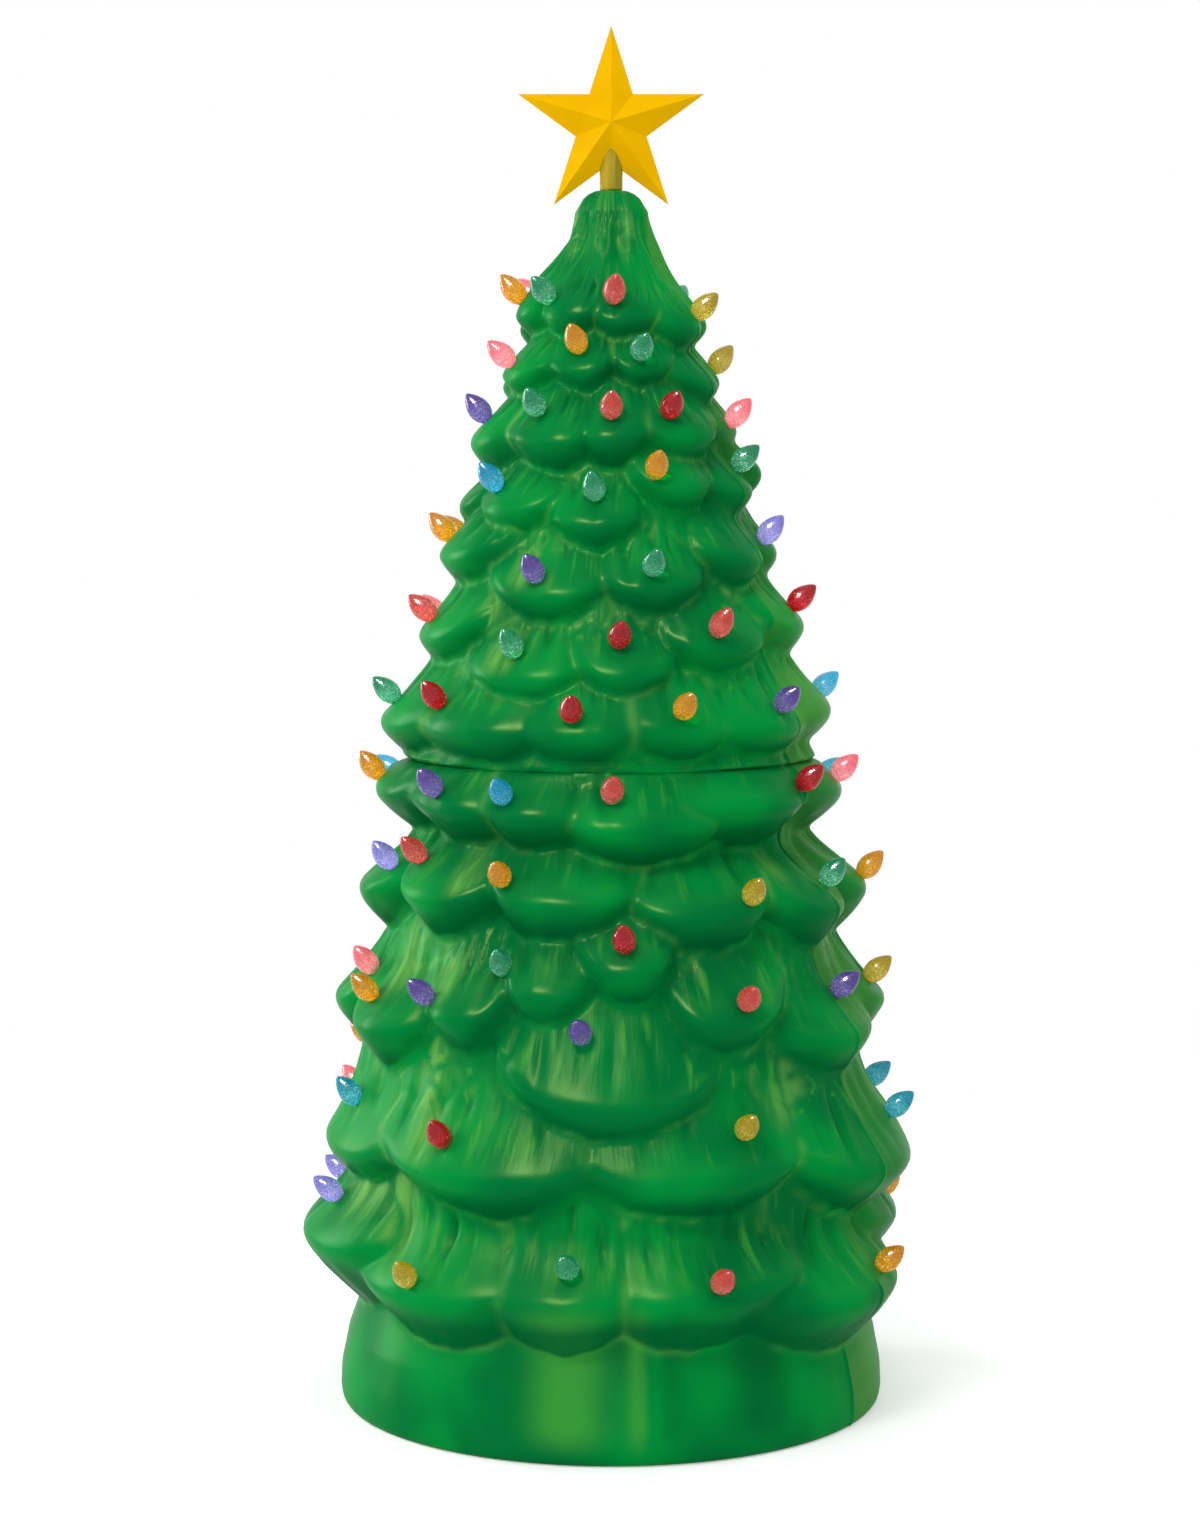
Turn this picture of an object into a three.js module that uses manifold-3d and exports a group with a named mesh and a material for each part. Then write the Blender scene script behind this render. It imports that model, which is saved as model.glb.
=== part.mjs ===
// A blow-moulded Christmas tree that stands on the floor: two hollow green sections, one stacked
// on the other, with coloured bulbs pushed through the wall and a lit star on top.
// Millimetres, +Z up, the front faces -Y, and the origin is the centre of the foot.
// An angle here is measured round the tree from the front towards the right, in degrees.

import * as THREE from 'three';
import { mergeVertices } from 'three/addons/utils/BufferGeometryUtils.js';
import Module from 'manifold-3d';

const wasm = await Module();
wasm.setup();

// Driving dimensions of the two moulded sections
const wall = 4.5;
const seatGap = 0.3;
const roundSides = 12;
const seamHeight = 551;
const seamRadius = 152;
const seamSlope = 1.5;
const spigotHeight = 25;
const spigotClearance = 1.5;
const neckTop = 1031;
const neckShoulder = 28;
const neckRound = 12;
const neckHeight = 56;
const footRadius = 222;
const footCorner = 8;
const baseRadius = 232;
const baseWidest = 22;
const skirtHeight = 60;
const footRingWidth = 52;
const floorRecess = 10;
const lowerColumns = 50;
const upperColumns = 42;
const leastRow = 3;
const lipRound = 10;
const undersideDepth = 40;
const creaseShare = 0.91;
const cleftLift = 0.8;
const branchesRepeated = 65;
const bulbsRepeated = 48;

// Service cover under the base and the lamp driver on it
const coverHole = 62;
const coverRadius = 80;
const coverThickness = 3;
const coverRing = 3.5;
const coverScrewCircle = 71;
const coverScrewCount = 4;
const screwHeadRadius = 4;
const screwHeadHeight = 2.2;
const screwRadius = 1.8;
const screwLength = 13;
const screwClearance = 0.45;
const screwSides = 8;
const driverLength = 78;
const driverWidth = 44;
const driverHeight = 26;
const driverEar = 9;
const driverEarWidth = 13;
const driverEarThickness = 3;
const driverScrewLength = 7;

// Control panel at the back of the base, with its push button and the gland for the cord
const panelWidth = 62;
const panelHeight = 26;
const panelCentre = 31;
const panelDepth = 13;
const panelProud = 1.5;
const panelWall = 2.5;
const panelRecess = 8;
const buttonOffset = 14;
const buttonRadius = 6.5;
const buttonProud = 3.2;
const buttonLength = 13;
const buttonTravel = 2.2;
const buttonEdge = 0.8;
const plungerRadius = 4;
const plungerLength = 4;
const switchSize = 13;
const switchDepth = 8;
const glandOffset = -16;
const glandRadius = 5.5;
const glandBore = 3.8;
const glandFlange = 8;
const glandFlangeThickness = 3;
const glandProud = 9;
const glandLength = 26;

// Plug and socket that join the two sections' wiring when one is set on the other
const linkWidth = 26;
const linkDepth = 22;
const linkHeight = 24;
const linkPin = 5;
const linkPinRadius = 2;
const linkPinSpacing = 12;
const cableRadius = 2.6;
const cableStraight = 40;

// Star, its sleeve, its lamp and the post that carries them
const starRadius = 82;
const starInnerRatio = 0.382;
const starHalfDepth = 24;
const starRim = 2.5;
const starWall = 1.8;
const starRise = 55;
const postRadius = 7.5;
const postTop = 36;
const postSides = 16;
const postTail = 30;
const postTailRadius = 6;
const postFlange = 13;
const postFlangeThickness = 3;
const sleeveRadius = 9.7;
const sleeveClearance = 0.4;
const sleeveLength = 44;
const lampRadius = 5.5;
const lampLength = 30;
const lampStem = 2.6;
const lampStemLength = 10;
const lampShoulder = 20;

// Bulbs and the wire that joins those of one tier
const bulbRadius = 10;
const bulbWidest = 7;
const bulbLength = 27;
const bulbStem = 4;
const bulbStemLength = 18;
const bulbSunk = -0.5;
const bulbTilt = 45;
const bulbSides = 4;
const wireRadius = 1.8;
const wireInset = 16;
const wireSamples = [-0.24, -0.12, 0, 0.12, 0.24];
const wireLap = 2;

const green = '#00913c';
const radians = THREE.MathUtils.degToRad;

// A share of the height: 0 is the foot, 1 is the seam and 2 is the top of the neck, so that
// branches and bulbs move with their own section.
function placed(share) {
  return share < 1
    ? share * seamHeight
    : seamHeight + (share - 1) * (neckTop - seamHeight);
}

// The core is what shows between the branches: height, then radius.
const core = [
  [0, footRadius],
  [footCorner, footRadius + 0.8 * (baseRadius - footRadius)],
  [baseWidest, baseRadius],
  [skirtHeight, 225],
  [placed(0.181), 213],
  [placed(0.363), 212],
  [placed(0.526), 206],
  [placed(0.726), 182],
  [placed(0.871), 152],
  [seamHeight - 30, seamRadius - 2],
  [seamHeight, seamRadius],
  [seamHeight + spigotHeight + 6, seamRadius],
  [placed(1.185), 138],
  [placed(1.310), 122],
  [placed(1.435), 108],
  [placed(1.519), 92],
  [placed(1.644), 78],
  [placed(1.727), 62],
  [placed(1.831), 54],
  [placed(1.873), 45],
  [placed(1.915), 34],
  [neckTop - 2 * neckRound, neckShoulder + 2],
  [neckTop - neckRound, neckShoulder],
];

// Each tier is a ring of branches: angle, share of the height at its tip, reach of its tip from the
// axis. Those within branchesRepeated of the front come again on the back, turned half round.
// drop is how far the tip hangs below the crease, slope is the lean of the branch's upper side,
// and lobe is how deep the cleft between two branches is.
const tiers = [
  { drop: 48, slope: 0.7, lobe: 34, branches: [
    [-80, 0.265, 270], [-37, 0.229, 260], [-9, 0.232, 258],
    [14, 0.240, 257], [57, 0.214, 262], [97, 0.279, 250]] },
  { drop: 34, slope: 0.5, lobe: 34, branches: [
    [-80, 0.407, 250], [-24, 0.407, 252], [18, 0.410, 252], [68, 0.388, 264], [108, 0.414, 246]] },
  { drop: 34, slope: 0.5, lobe: 14, branches: [[-34, 0.544, 200], [0, 0.519, 245], [34, 0.544, 200]] },
  { drop: 34, slope: 0.8, lobe: 27, branches: [
    [-88, 0.635, 237], [-60, 0.610, 238], [-33, 0.635, 232],
    [-16, 0.675, 227], [5, 0.711, 226], [24, 0.635, 231],
    [60, 0.595, 238], [94, 0.626, 237]] },
  { drop: 34, slope: 0.95, lobe: 27, branches: [
    [-82, 0.795, 217], [-46, 0.804, 215], [-14, 0.806, 214],
    [25, 0.788, 216], [58, 0.780, 219], [90, 0.793, 221]] },
  { drop: 30, slope: 1.1, lobe: 24, branches: [
    [-82, 0.951, 203], [-43, 0.940, 201], [-22, 0.931, 201],
    [4, 0.915, 205], [40, 0.940, 200], [80, 0.969, 197]] },
  { drop: 26, slope: 0.85, lobe: 24, branches: [
    [-82, 1.060, 198], [-38, 1.060, 192], [-8, 1.060, 192],
    [17, 1.065, 190], [44, 1.062, 189], [82, 1.067, 190]] },
  { drop: 24, slope: 0.8, lobe: 22, branches: [
    [-70, 1.215, 167], [-23, 1.148, 175], [4, 1.154, 176], [33, 1.198, 169], [78, 1.229, 166]] },
  { drop: 24, slope: 0.85, lobe: 22, branches: [
    [-68, 1.354, 150], [-20, 1.290, 156], [16, 1.302, 155], [50, 1.344, 148], [88, 1.356, 142]] },
  { drop: 22, slope: 0.8, lobe: 20, branches: [
    [-88, 1.440, 130], [-42, 1.433, 134], [-5, 1.408, 138], [28, 1.471, 130], [64, 1.465, 129],
    [90, 1.498, 129]] },
  { drop: 20, slope: 0.85, lobe: 18, branches: [
    [-76, 1.552, 124], [-24, 1.550, 122], [1, 1.558, 120], [32, 1.560, 120], [78, 1.573, 111]] },
  { drop: 18, slope: 0.8, lobe: 16, branches: [
    [-62, 1.669, 97], [-13, 1.675, 95], [16, 1.679, 94], [60, 1.648, 99], [98, 1.660, 94]] },
  { drop: 17, slope: 0.62, lobe: 14, branches: [
    [-76, 1.779, 83], [-27, 1.771, 83], [5, 1.762, 84], [54, 1.750, 86], [92, 1.760, 82]] },
];

// Bulbs of one tier on one string: angle, then share of the height at the hole in the wall.
// Those within bulbsRepeated of the front come again on the back, turned half round.
const strings = [
  [[-75, 0.330], [-40, 0.254], [-8, 0.287], [20, 0.265], [65, 0.240], [-103, 0.319], [104, 0.290]],
  [[-72, 0.481], [-35, 0.461], [27, 0.479], [78, 0.457], [-106, 0.454]],
  [[-6, 0.621], [-100, 0.544], [100, 0.475]],
  [[-75, 0.679], [-64, 0.650], [-43, 0.657], [-25, 0.715],
    [3, 0.751], [29, 0.664], [63, 0.657], [86, 0.657]],
  [[-71, 0.842], [-57, 0.860], [-26, 0.842], [33, 0.813], [63, 0.822], [88, 0.817]],
  [[-84, 0.973], [-47, 0.966], [-27, 0.960], [0, 0.964],
    [58, 0.969], [-106, 0.962], [82, 0.973], [104, 0.958]],
  [[-82, 1.106], [-53, 1.106], [-10, 1.094], [18, 1.098], [52, 1.102], [100, 1.108]],
  [[-73, 1.252], [-29, 1.196], [2, 1.215], [32, 1.231], [80, 1.269], [-100, 1.235]],
  [[-84, 1.390], [-24, 1.323], [13, 1.335], [75, 1.385], [-104, 1.385]],
  [[-53, 1.477], [-6, 1.460], [17, 1.498], [70, 1.512]],
  [[-82, 1.598], [-36, 1.606], [0, 1.600], [26, 1.602], [73, 1.590]],
  [[-67, 1.694], [-18, 1.712], [15, 1.702], [98, 1.685]],
  [[-84, 1.806], [-45, 1.802], [1, 1.798], [67, 1.777], [-108, 1.806]],
];

function piecewise(points, at) {
  if (at <= points[0][0]) return points[0][1];
  for (let i = 1; i < points.length; i += 1) {
    const [x1, y1] = points[i];
    const [x0, y0] = points[i - 1];
    if (at <= x1) return x1 === x0 ? y1 : y0 + (y1 - y0) * (at - x0) / (x1 - x0);
  }
  return points[points.length - 1][1];
}

function turn(angle) {
  return ((angle % 360) + 540) % 360 - 180;
}

function aroundTree(list, limit) {
  const back = list.filter(([angle]) => Math.abs(angle) <= limit)
    .map(([angle, ...rest]) => [turn(angle + 180), ...rest]);
  return [...list, ...back]
    .map(([angle, height, ...rest]) => [angle, placed(height), ...rest])
    .sort((a, b) => a[0] - b[0]);
}

for (const tier of tiers) tier.ring = aroundTree(tier.branches, branchesRepeated);

// The lip of a tier at an angle: its height, its reach, and how far into the cleft the angle is.
function lip(tier, angle) {
  const ring = tier.ring;
  let i = ring.findIndex(([start]) => start > angle);
  if (i < 0) i = 0;
  const right = ring[i];
  const left = ring[(i + ring.length - 1) % ring.length];
  const span = (right[0] - left[0] + 360) % 360;
  const share = ((angle - left[0] + 360) % 360) / span;
  const ease = share * share * (3 - 2 * share);
  const cleft = 1 - Math.abs(Math.cos(Math.PI * share));
  const height = left[1] + (right[1] - left[1]) * ease + tier.lobe * cleftLift * cleft;
  const reach = left[2] + (right[2] - left[2]) * ease - tier.lobe * cleft;
  return { height, reach };
}

function surfaceRadius(angle, height) {
  let radius = piecewise(core, height);
  for (const tier of tiers) {
    const edge = lip(tier, angle);
    const above = height - edge.height;
    const lean = above > 0
      ? tier.slope * (Math.hypot(above, lipRound) - lipRound)
      : undersideDepth * (above / tier.drop) ** 2;
    radius = Math.max(radius, edge.reach - lean);
  }
  return Math.min(radius, seamRadius + seamSlope * Math.abs(height - seamHeight));
}

// Heights of the rows of faces up a section at one angle: they follow the lips of its tiers.
function rowHeights(low, high, extra, angle) {
  const rows = [...extra];
  for (const tier of tiers) {
    const tip = lip(tier, angle).height;
    const [, tierHeight] = tier.ring[0];
    if (tierHeight > low && tierHeight < high) rows.push(tip - tier.drop * creaseShare, tip);
  }
  rows.sort((a, b) => a - b);
  rows.forEach((value, i) => {
    const floor = (i === 0 ? low : rows[i - 1]) + leastRow;
    const ceiling = high - leastRow * (rows.length - i);
    rows[i] = Math.min(Math.max(value, floor), ceiling);
  });
  return [low, ...rows, high];
}

function onTree(angle, radius, height) {
  const a = radians(angle);
  return new THREE.Vector3(radius * Math.sin(a), -radius * Math.cos(a), height);
}

// A closed skin from one outline of [radius, height] points for each column of faces.
function ringBody(columns, outlineAt) {
  const positions = [];
  const index = [];
  const outlines = [];
  for (let c = 0; c < columns; c += 1) outlines.push(outlineAt(360 * c / columns - 180));
  const count = outlines[0].length;
  outlines.forEach((outline, c) => {
    for (const [radius, height] of outline) {
      positions.push(...onTree(360 * c / columns - 180, radius, height).toArray());
    }
  });
  for (let c = 0; c < columns; c += 1) {
    const next = (c + 1) % columns;
    for (let i = 0; i < count; i += 1) {
      const j = (i + 1) % count;
      index.push(c * count + i, next * count + i, next * count + j);
      index.push(c * count + i, next * count + j, c * count + j);
    }
  }
  const geometry = new THREE.BufferGeometry();
  geometry.setAttribute('position', new THREE.Float32BufferAttribute(positions, 3));
  geometry.setIndex(index);
  return geometry;
}

const spigotRadius = seamRadius - wall - spigotClearance;
const spigotTop = seamHeight + spigotHeight;
const footInner = footRadius - footRingWidth;

function lowerOutline(angle) {
  const heights = rowHeights(0, seamHeight, [footCorner, baseWidest, skirtHeight], angle);
  const outside = heights.map((z) => [surfaceRadius(angle, z), z]);
  const inside = heights.slice(1, -1).reverse()
    .map((z) => [surfaceRadius(angle, z) - wall, Math.max(z, wall + 1)]);
  return [
    ...outside,
    [spigotRadius, seamHeight],
    [spigotRadius, spigotTop],
    [spigotRadius - wall, spigotTop],
    [spigotRadius - wall, seamHeight - wall],
    ...inside,
    [footRadius - wall, wall],
    [footInner + wall / 2, wall],
    [footInner - floorRecess / 2 - wall / 2, floorRecess + wall],
    [coverHole, floorRecess + wall],
    [coverHole, floorRecess],
    [footInner - floorRecess / 2, floorRecess],
    [footInner, 0],
  ];
}

function upperOutline(angle) {
  const low = seamHeight + seatGap;
  const high = neckTop - neckRound;
  const heights = rowHeights(low, high, [neckTop - 2 * neckRound, neckTop - neckHeight], angle);
  const outside = heights.map((z) => [surfaceRadius(angle, z), z]);
  const inside = heights.slice(0, -1).reverse().map((z) => [surfaceRadius(angle, z) - wall, z]);
  const hole = postRadius + seatGap;
  return [
    ...outside,
    [neckShoulder - neckRound / 3, neckTop - neckRound / 4],
    [neckShoulder - neckRound, neckTop],
    [hole, neckTop],
    [hole, neckTop - wall],
    [neckShoulder - neckRound, neckTop - wall],
    [neckShoulder - wall, high - wall / 2],
    ...inside,
  ];
}

// Turning a closed, merged mesh into a solid that can be joined and cut, and back
function toSolid(geometry) {
  const bare = geometry.clone();
  bare.deleteAttribute('normal');
  bare.deleteAttribute('uv');
  const merged = mergeVertices(bare, 1e-4);
  const corners = merged.index.array;
  const kept = [];
  for (let i = 0; i < corners.length; i += 3) {
    const [a, b, c] = [corners[i], corners[i + 1], corners[i + 2]];
    if (a !== b && b !== c && c !== a) kept.push(a, b, c);
  }
  return new wasm.Manifold(new wasm.Mesh({
    numProp: 3,
    vertProperties: new Float32Array(merged.attributes.position.array),
    triVerts: new Uint32Array(kept),
  }));
}

function toGeometry(solid) {
  const result = solid.getMesh();
  const geometry = new THREE.BufferGeometry();
  geometry.setAttribute('position', new THREE.BufferAttribute(result.vertProperties, 3));
  geometry.setIndex(new THREE.BufferAttribute(result.triVerts, 1));
  return geometry;
}

function joined(geometries) {
  return toGeometry(geometries.map(toSolid).reduce((all, next) => all.add(next)));
}

function cut(geometry, cutters) {
  return toGeometry(cutters.map(toSolid).reduce((all, next) => all.subtract(next), toSolid(geometry)));
}

// A turned piece on the Z axis from [radius, height] points, bottom first
function turned(points, sides) {
  const profile = points.map(([radius, height]) => new THREE.Vector2(radius, height));
  return new THREE.LatheGeometry(profile, sides).rotateX(Math.PI / 2);
}

function rod(radius, low, high, sides = roundSides) {
  return turned([[0, low], [radius, low], [radius, high], [0, high]], sides);
}

// A hole with flat sides is drawn this much wider, so that a round piece still fits inside it.
function roundHole(radius, low, high, sides = roundSides) {
  return rod(radius / Math.cos(Math.PI / sides), low, high, sides);
}

function block(x, y, z, centre) {
  return new THREE.BoxGeometry(x, y, z).translate(...centre);
}

// Points along +Z, moved so that they point along +Y, out of the back of the base
function facingBack(geometry, x, y, z) {
  return geometry.rotateX(-Math.PI / 2).translate(x, y, z);
}

const group = new THREE.Group();

function add(name, geometry, colour, roughness, metalness = 0) {
  const material = new THREE.MeshStandardMaterial({ color: colour, roughness, metalness });
  const mesh = new THREE.Mesh(geometry, material);
  mesh.name = name;
  group.add(mesh);
  return mesh;
}

// Bulbs: each stands out and up from the wall, and its stem goes through a hole that fits it.
function bulbShape(grow, stemLength) {
  const side = grow / Math.cos(Math.PI / bulbSides);
  return turned([
    [0, -stemLength],
    [bulbStem + side, -stemLength],
    [bulbStem + side, -grow],
    [bulbRadius + side, bulbWidest - grow],
    [0, bulbLength + 2 * grow],
  ], bulbSides);
}

const lowerSkin = new THREE.Mesh(ringBody(lowerColumns, lowerOutline));
const upperSkin = new THREE.Mesh(ringBody(upperColumns, upperOutline));
for (const skin of [lowerSkin, upperSkin]) skin.updateMatrixWorld();

function seatOnWall(skin, angle, height) {
  const out = onTree(angle, Math.cos(radians(bulbTilt)), Math.sin(radians(bulbTilt)));
  const guess = onTree(angle, surfaceRadius(angle, height), height);
  const from = guess.clone().addScaledVector(out, 2 * bulbLength);
  const hit = new THREE.Raycaster(from, out.clone().negate()).intersectObject(skin)[0];
  const seat = hit.point.addScaledVector(out, -bulbSunk);
  const place = new THREE.Matrix4().makeBasis(
    onTree(angle + 90, 1, 0),
    onTree(angle + 90, 1, 0).cross(out).negate(),
    out,
  ).setPosition(seat);
  return { angle, seat, out, place };
}

// The wire from one bulb's stem to the next keeps inside the wall that lies between them.
function wireBetween(from, to, lowest) {
  const start = from.seat.clone().addScaledVector(from.out, wireLap - bulbStemLength);
  const end = to.seat.clone().addScaledVector(to.out, wireLap - bulbStemLength);
  const span = (to.angle - from.angle + 360) % 360;
  const points = [start];
  for (const share of [0.25, 0.5, 0.75]) {
    const height = Math.max(lowest, THREE.MathUtils.lerp(start.z, end.z, share));
    let least = Infinity;
    for (const near of wireSamples) {
      for (const step of [-wireInset, 0, wireInset]) {
        least = Math.min(least, surfaceRadius(turn(from.angle + span * (share + near)), height + step));
      }
    }
    points.push(onTree(from.angle + span * share, least - wall - wireInset, height));
  }
  points.push(end);
  const section = new THREE.Shape();
  for (let i = 0; i < 3; i += 1) {
    const a = radians(120 * i);
    section[i === 0 ? 'moveTo' : 'lineTo'](wireRadius * Math.cos(a), wireRadius * Math.sin(a));
  }
  return new THREE.ExtrudeGeometry(section, {
    steps: 3,
    extrudePath: new THREE.CatmullRomCurve3(points),
  });
}

const holes = new Map([[lowerSkin, []], [upperSkin, []]]);
const stringParts = strings.map((bulbs, i) => {
  const skin = bulbs[0][1] < 1 ? lowerSkin : upperSkin;
  const lowest = skin === upperSkin ? spigotTop + 2 * bulbStem : skirtHeight;
  const seats = aroundTree(bulbs, bulbsRepeated).map(([angle, height]) => seatOnWall(skin, angle, height));
  for (const seat of seats) {
    holes.get(skin).push(bulbShape(seatGap, bulbStemLength + wall).applyMatrix4(seat.place));
  }
  const shapes = seats.map((seat) => bulbShape(0, bulbStemLength).applyMatrix4(seat.place));
  for (let k = 1; k < seats.length; k += 1) {
    shapes.push(wireBetween(seats[k - 1], seats[k], lowest));
  }
  return { name: `light_string_${String(i + 1).padStart(2, '0')}`, shapes };
});
for (const { name, shapes } of stringParts) add(name, joined(shapes), '#e8a020', 0.2);

// Service cover, its screws and the driver that it carries
const coverTop = floorRecess - seatGap;
const coverBottom = coverTop - coverThickness;
const screwSpots = [];
for (let i = 0; i < coverScrewCount; i += 1) {
  screwSpots.push(onTree(360 * (i + 0.5) / coverScrewCount, coverScrewCircle, 0));
}
const earCentre = driverLength / 2 + driverEar / 2;
const driverBottom = coverTop + seatGap;
const driverTop = driverBottom + driverHeight;

function screw(length) {
  return turned([
    [0, -screwHeadHeight],
    [(screwHeadRadius + screwRadius) / 2, -screwHeadHeight],
    [screwHeadRadius, 0],
    [screwRadius, 0],
    [screwRadius, length - screwRadius],
    [0, length],
  ], screwSides);
}

function screwHole(low, high) {
  return rod(screwRadius + screwClearance, low, high, screwSides);
}

const cover = cut(
  turned([
    [0, coverBottom],
    [coverRadius, coverBottom],
    [coverRadius, coverTop],
    [coverHole - 2 * seatGap, coverTop],
    [coverHole - 2 * seatGap, coverTop + wall],
    [coverHole - coverRing, coverTop + wall],
    [coverHole - coverRing, coverTop],
    [0, coverTop],
  ], 20),
  [
    ...screwSpots.map((spot) => screwHole(coverBottom - 1, coverTop + 1).translate(spot.x, spot.y, 0)),
    ...[-1, 1].map((side) => screwHole(coverBottom - 1, coverTop + 1).translate(side * earCentre, 0, 0)),
  ],
);
add('base_cover', cover, '#1d5c36', 0.6);
screwSpots.forEach((spot, i) => {
  const seat = coverBottom - seatGap;
  add(`cover_screw_${i + 1}`, screw(screwLength).translate(spot.x, spot.y, seat), '#b9bcc0', 0.35, 1);
});

const driver = cut(
  joined([
    block(driverLength, driverWidth, driverHeight, [0, 0, driverBottom + driverHeight / 2]),
    block(driverLength + 2 * driverEar, driverEarWidth, driverEarThickness,
      [0, 0, driverBottom + driverEarThickness / 2]),
  ]),
  [-1, 1].map((side) => (
    screwHole(driverBottom - 1, driverBottom + driverEarThickness + 1).translate(side * earCentre, 0, 0))),
);
add('led_driver', driver, '#2b2d2f', 0.5);
[-1, 1].forEach((side, i) => {
  const seat = driverBottom + driverEarThickness + seatGap;
  const geometry = screw(driverScrewLength).rotateX(Math.PI).translate(side * earCentre, 0, seat);
  add(`driver_screw_${i + 1}`, geometry, '#b9bcc0', 0.35, 1);
});

// Control panel: a cup that snaps into a window in the back of the base
const panelFace = surfaceRadius(180, panelCentre) + panelProud;
const panelBack = panelFace - panelDepth;
const panelWindow = block(
  panelWidth + 2 * seatGap, baseRadius, panelHeight + 2 * seatGap,
  [0, panelBack - wall + baseRadius / 2, panelCentre],
);
const panel = cut(
  block(panelWidth, panelDepth, panelHeight, [0, panelFace - panelDepth / 2, panelCentre]),
  [
    facingBack(roundHole(buttonRadius + seatGap, -2 * panelDepth, panelDepth),
      buttonOffset, panelFace, panelCentre),
    facingBack(roundHole(glandRadius + seatGap, -2 * panelDepth, panelDepth),
      glandOffset, panelFace, panelCentre),
    block(panelRecess, panelDepth * 2, panelHeight - 4 * panelWall,
      [(buttonOffset + glandOffset) / 2, panelBack - panelWall, panelCentre]),
  ],
);
add('control_panel', panel, '#16472b', 0.55);

const button = turned([
  [0, -buttonLength],
  [plungerRadius, -buttonLength],
  [plungerRadius, plungerLength - buttonLength],
  [buttonRadius, plungerLength - buttonLength],
  [buttonRadius, -buttonEdge],
  [buttonRadius - buttonEdge, 0],
  [0, 0],
], roundSides);
add('power_button', facingBack(button, buttonOffset, panelFace + buttonProud, panelCentre), '#d8d8d2', 0.45);

// The switch stands behind the bore: the button comes to within the seat gap of it when pressed.
const switchFace = Math.min(
  panelFace + buttonProud - buttonLength - buttonTravel - seatGap,
  panelBack - seatGap,
);
add('push_switch', block(switchSize, switchDepth, switchSize,
  [buttonOffset, switchFace - switchDepth / 2, panelCentre]), '#26282b', 0.5);

const gland = turned([
  [glandBore, glandProud - glandLength],
  [glandRadius, glandProud - glandLength],
  [glandRadius, seatGap],
  [glandFlange, seatGap],
  [glandFlange, glandFlangeThickness],
  [glandRadius, glandProud],
  [glandBore, glandProud],
  [glandBore, glandProud - glandLength],
], roundSides);
add('cord_gland', facingBack(gland, glandOffset, panelFace, panelCentre), '#1c1d1f', 0.7);

// The wiring link: a socket inside the lower section's spigot, a plug inside the upper section
const linkOuter = (spigotRadius - wall) * Math.cos(Math.asin(linkWidth / 2 / (spigotRadius - wall)));
const linkBack = linkOuter - 2 * seatGap;
const linkMiddle = linkBack - linkDepth / 2;
const pinSpots = [-linkPinSpacing / 2, linkPinSpacing / 2];
const linkSocket = cut(
  block(linkWidth, linkDepth, linkHeight, [0, linkMiddle, spigotTop - linkHeight / 2]),
  pinSpots.map((x) => roundHole(linkPinRadius + seatGap, spigotTop - linkPin - 1, spigotTop + 1)
    .translate(x, linkMiddle, 0)),
);
add('lower_connector', linkSocket, '#e9e9e4', 0.5);

const plugBottom = spigotTop + seatGap;
let plugBack = Infinity;
for (const x of [-linkWidth / 2, 0, linkWidth / 2]) {
  for (const up of [0, 0.5, 1]) {
    const from = new THREE.Vector3(x, 0, plugBottom + up * linkHeight);
    const hit = new THREE.Raycaster(from, new THREE.Vector3(0, 1, 0)).intersectObject(upperSkin)[0];
    plugBack = Math.min(plugBack, hit.point.y - seatGap);
  }
}
const plugFront = linkBack - linkDepth;
const linkPlug = joined([
  block(linkWidth, plugBack - plugFront, linkHeight,
    [0, (plugBack + plugFront) / 2, plugBottom + linkHeight / 2]),
  ...pinSpots.map((x) => rod(linkPinRadius, plugBottom - linkPin, plugBottom + 1)
    .translate(x, linkMiddle, 0)),
]);
add('upper_connector', linkPlug, '#e9e9e4', 0.5);

const cableSection = new THREE.Shape().absarc(0, 0, cableRadius, 0, 2 * Math.PI);
const cableStart = driverTop + seatGap;
const cableEnd = spigotTop - linkHeight - seatGap;
const cable = new THREE.ExtrudeGeometry(cableSection, {
  steps: 14,
  curveSegments: 3,
  extrudePath: new THREE.CatmullRomCurve3([
    new THREE.Vector3(0, 0, cableStart),
    new THREE.Vector3(0, 0, cableStart + cableStraight),
    ...[0.25, 0.5, 0.75].map((share) => new THREE.Vector3(
      0,
      linkMiddle * share,
      THREE.MathUtils.lerp(cableStart + cableStraight, cableEnd - cableStraight, share),
    )),
    new THREE.Vector3(0, linkMiddle, cableEnd - cableStraight),
    new THREE.Vector3(0, linkMiddle, cableEnd),
  ]),
});
add('wiring_cable', cable, '#1c5a34', 0.6);

// Post in the neck, lamp on the post
const postFoot = neckTop - wall - seatGap;
const socketDepth = lampStemLength + seatGap;
const post = turned([
  [0, postFoot - postTail],
  [postTailRadius, postFoot - postTail],
  [postTailRadius, postFoot - postFlangeThickness],
  [postFlange, postFoot - postFlangeThickness],
  [postFlange, postFoot],
  [postRadius, postFoot],
  [postRadius, neckTop + postTop],
  [lampStem + seatGap, neckTop + postTop],
  [lampStem + seatGap, neckTop + postTop - socketDepth],
  [0, neckTop + postTop - socketDepth],
], postSides);
add('star_post', post, '#0b7f38', 0.5);

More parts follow.
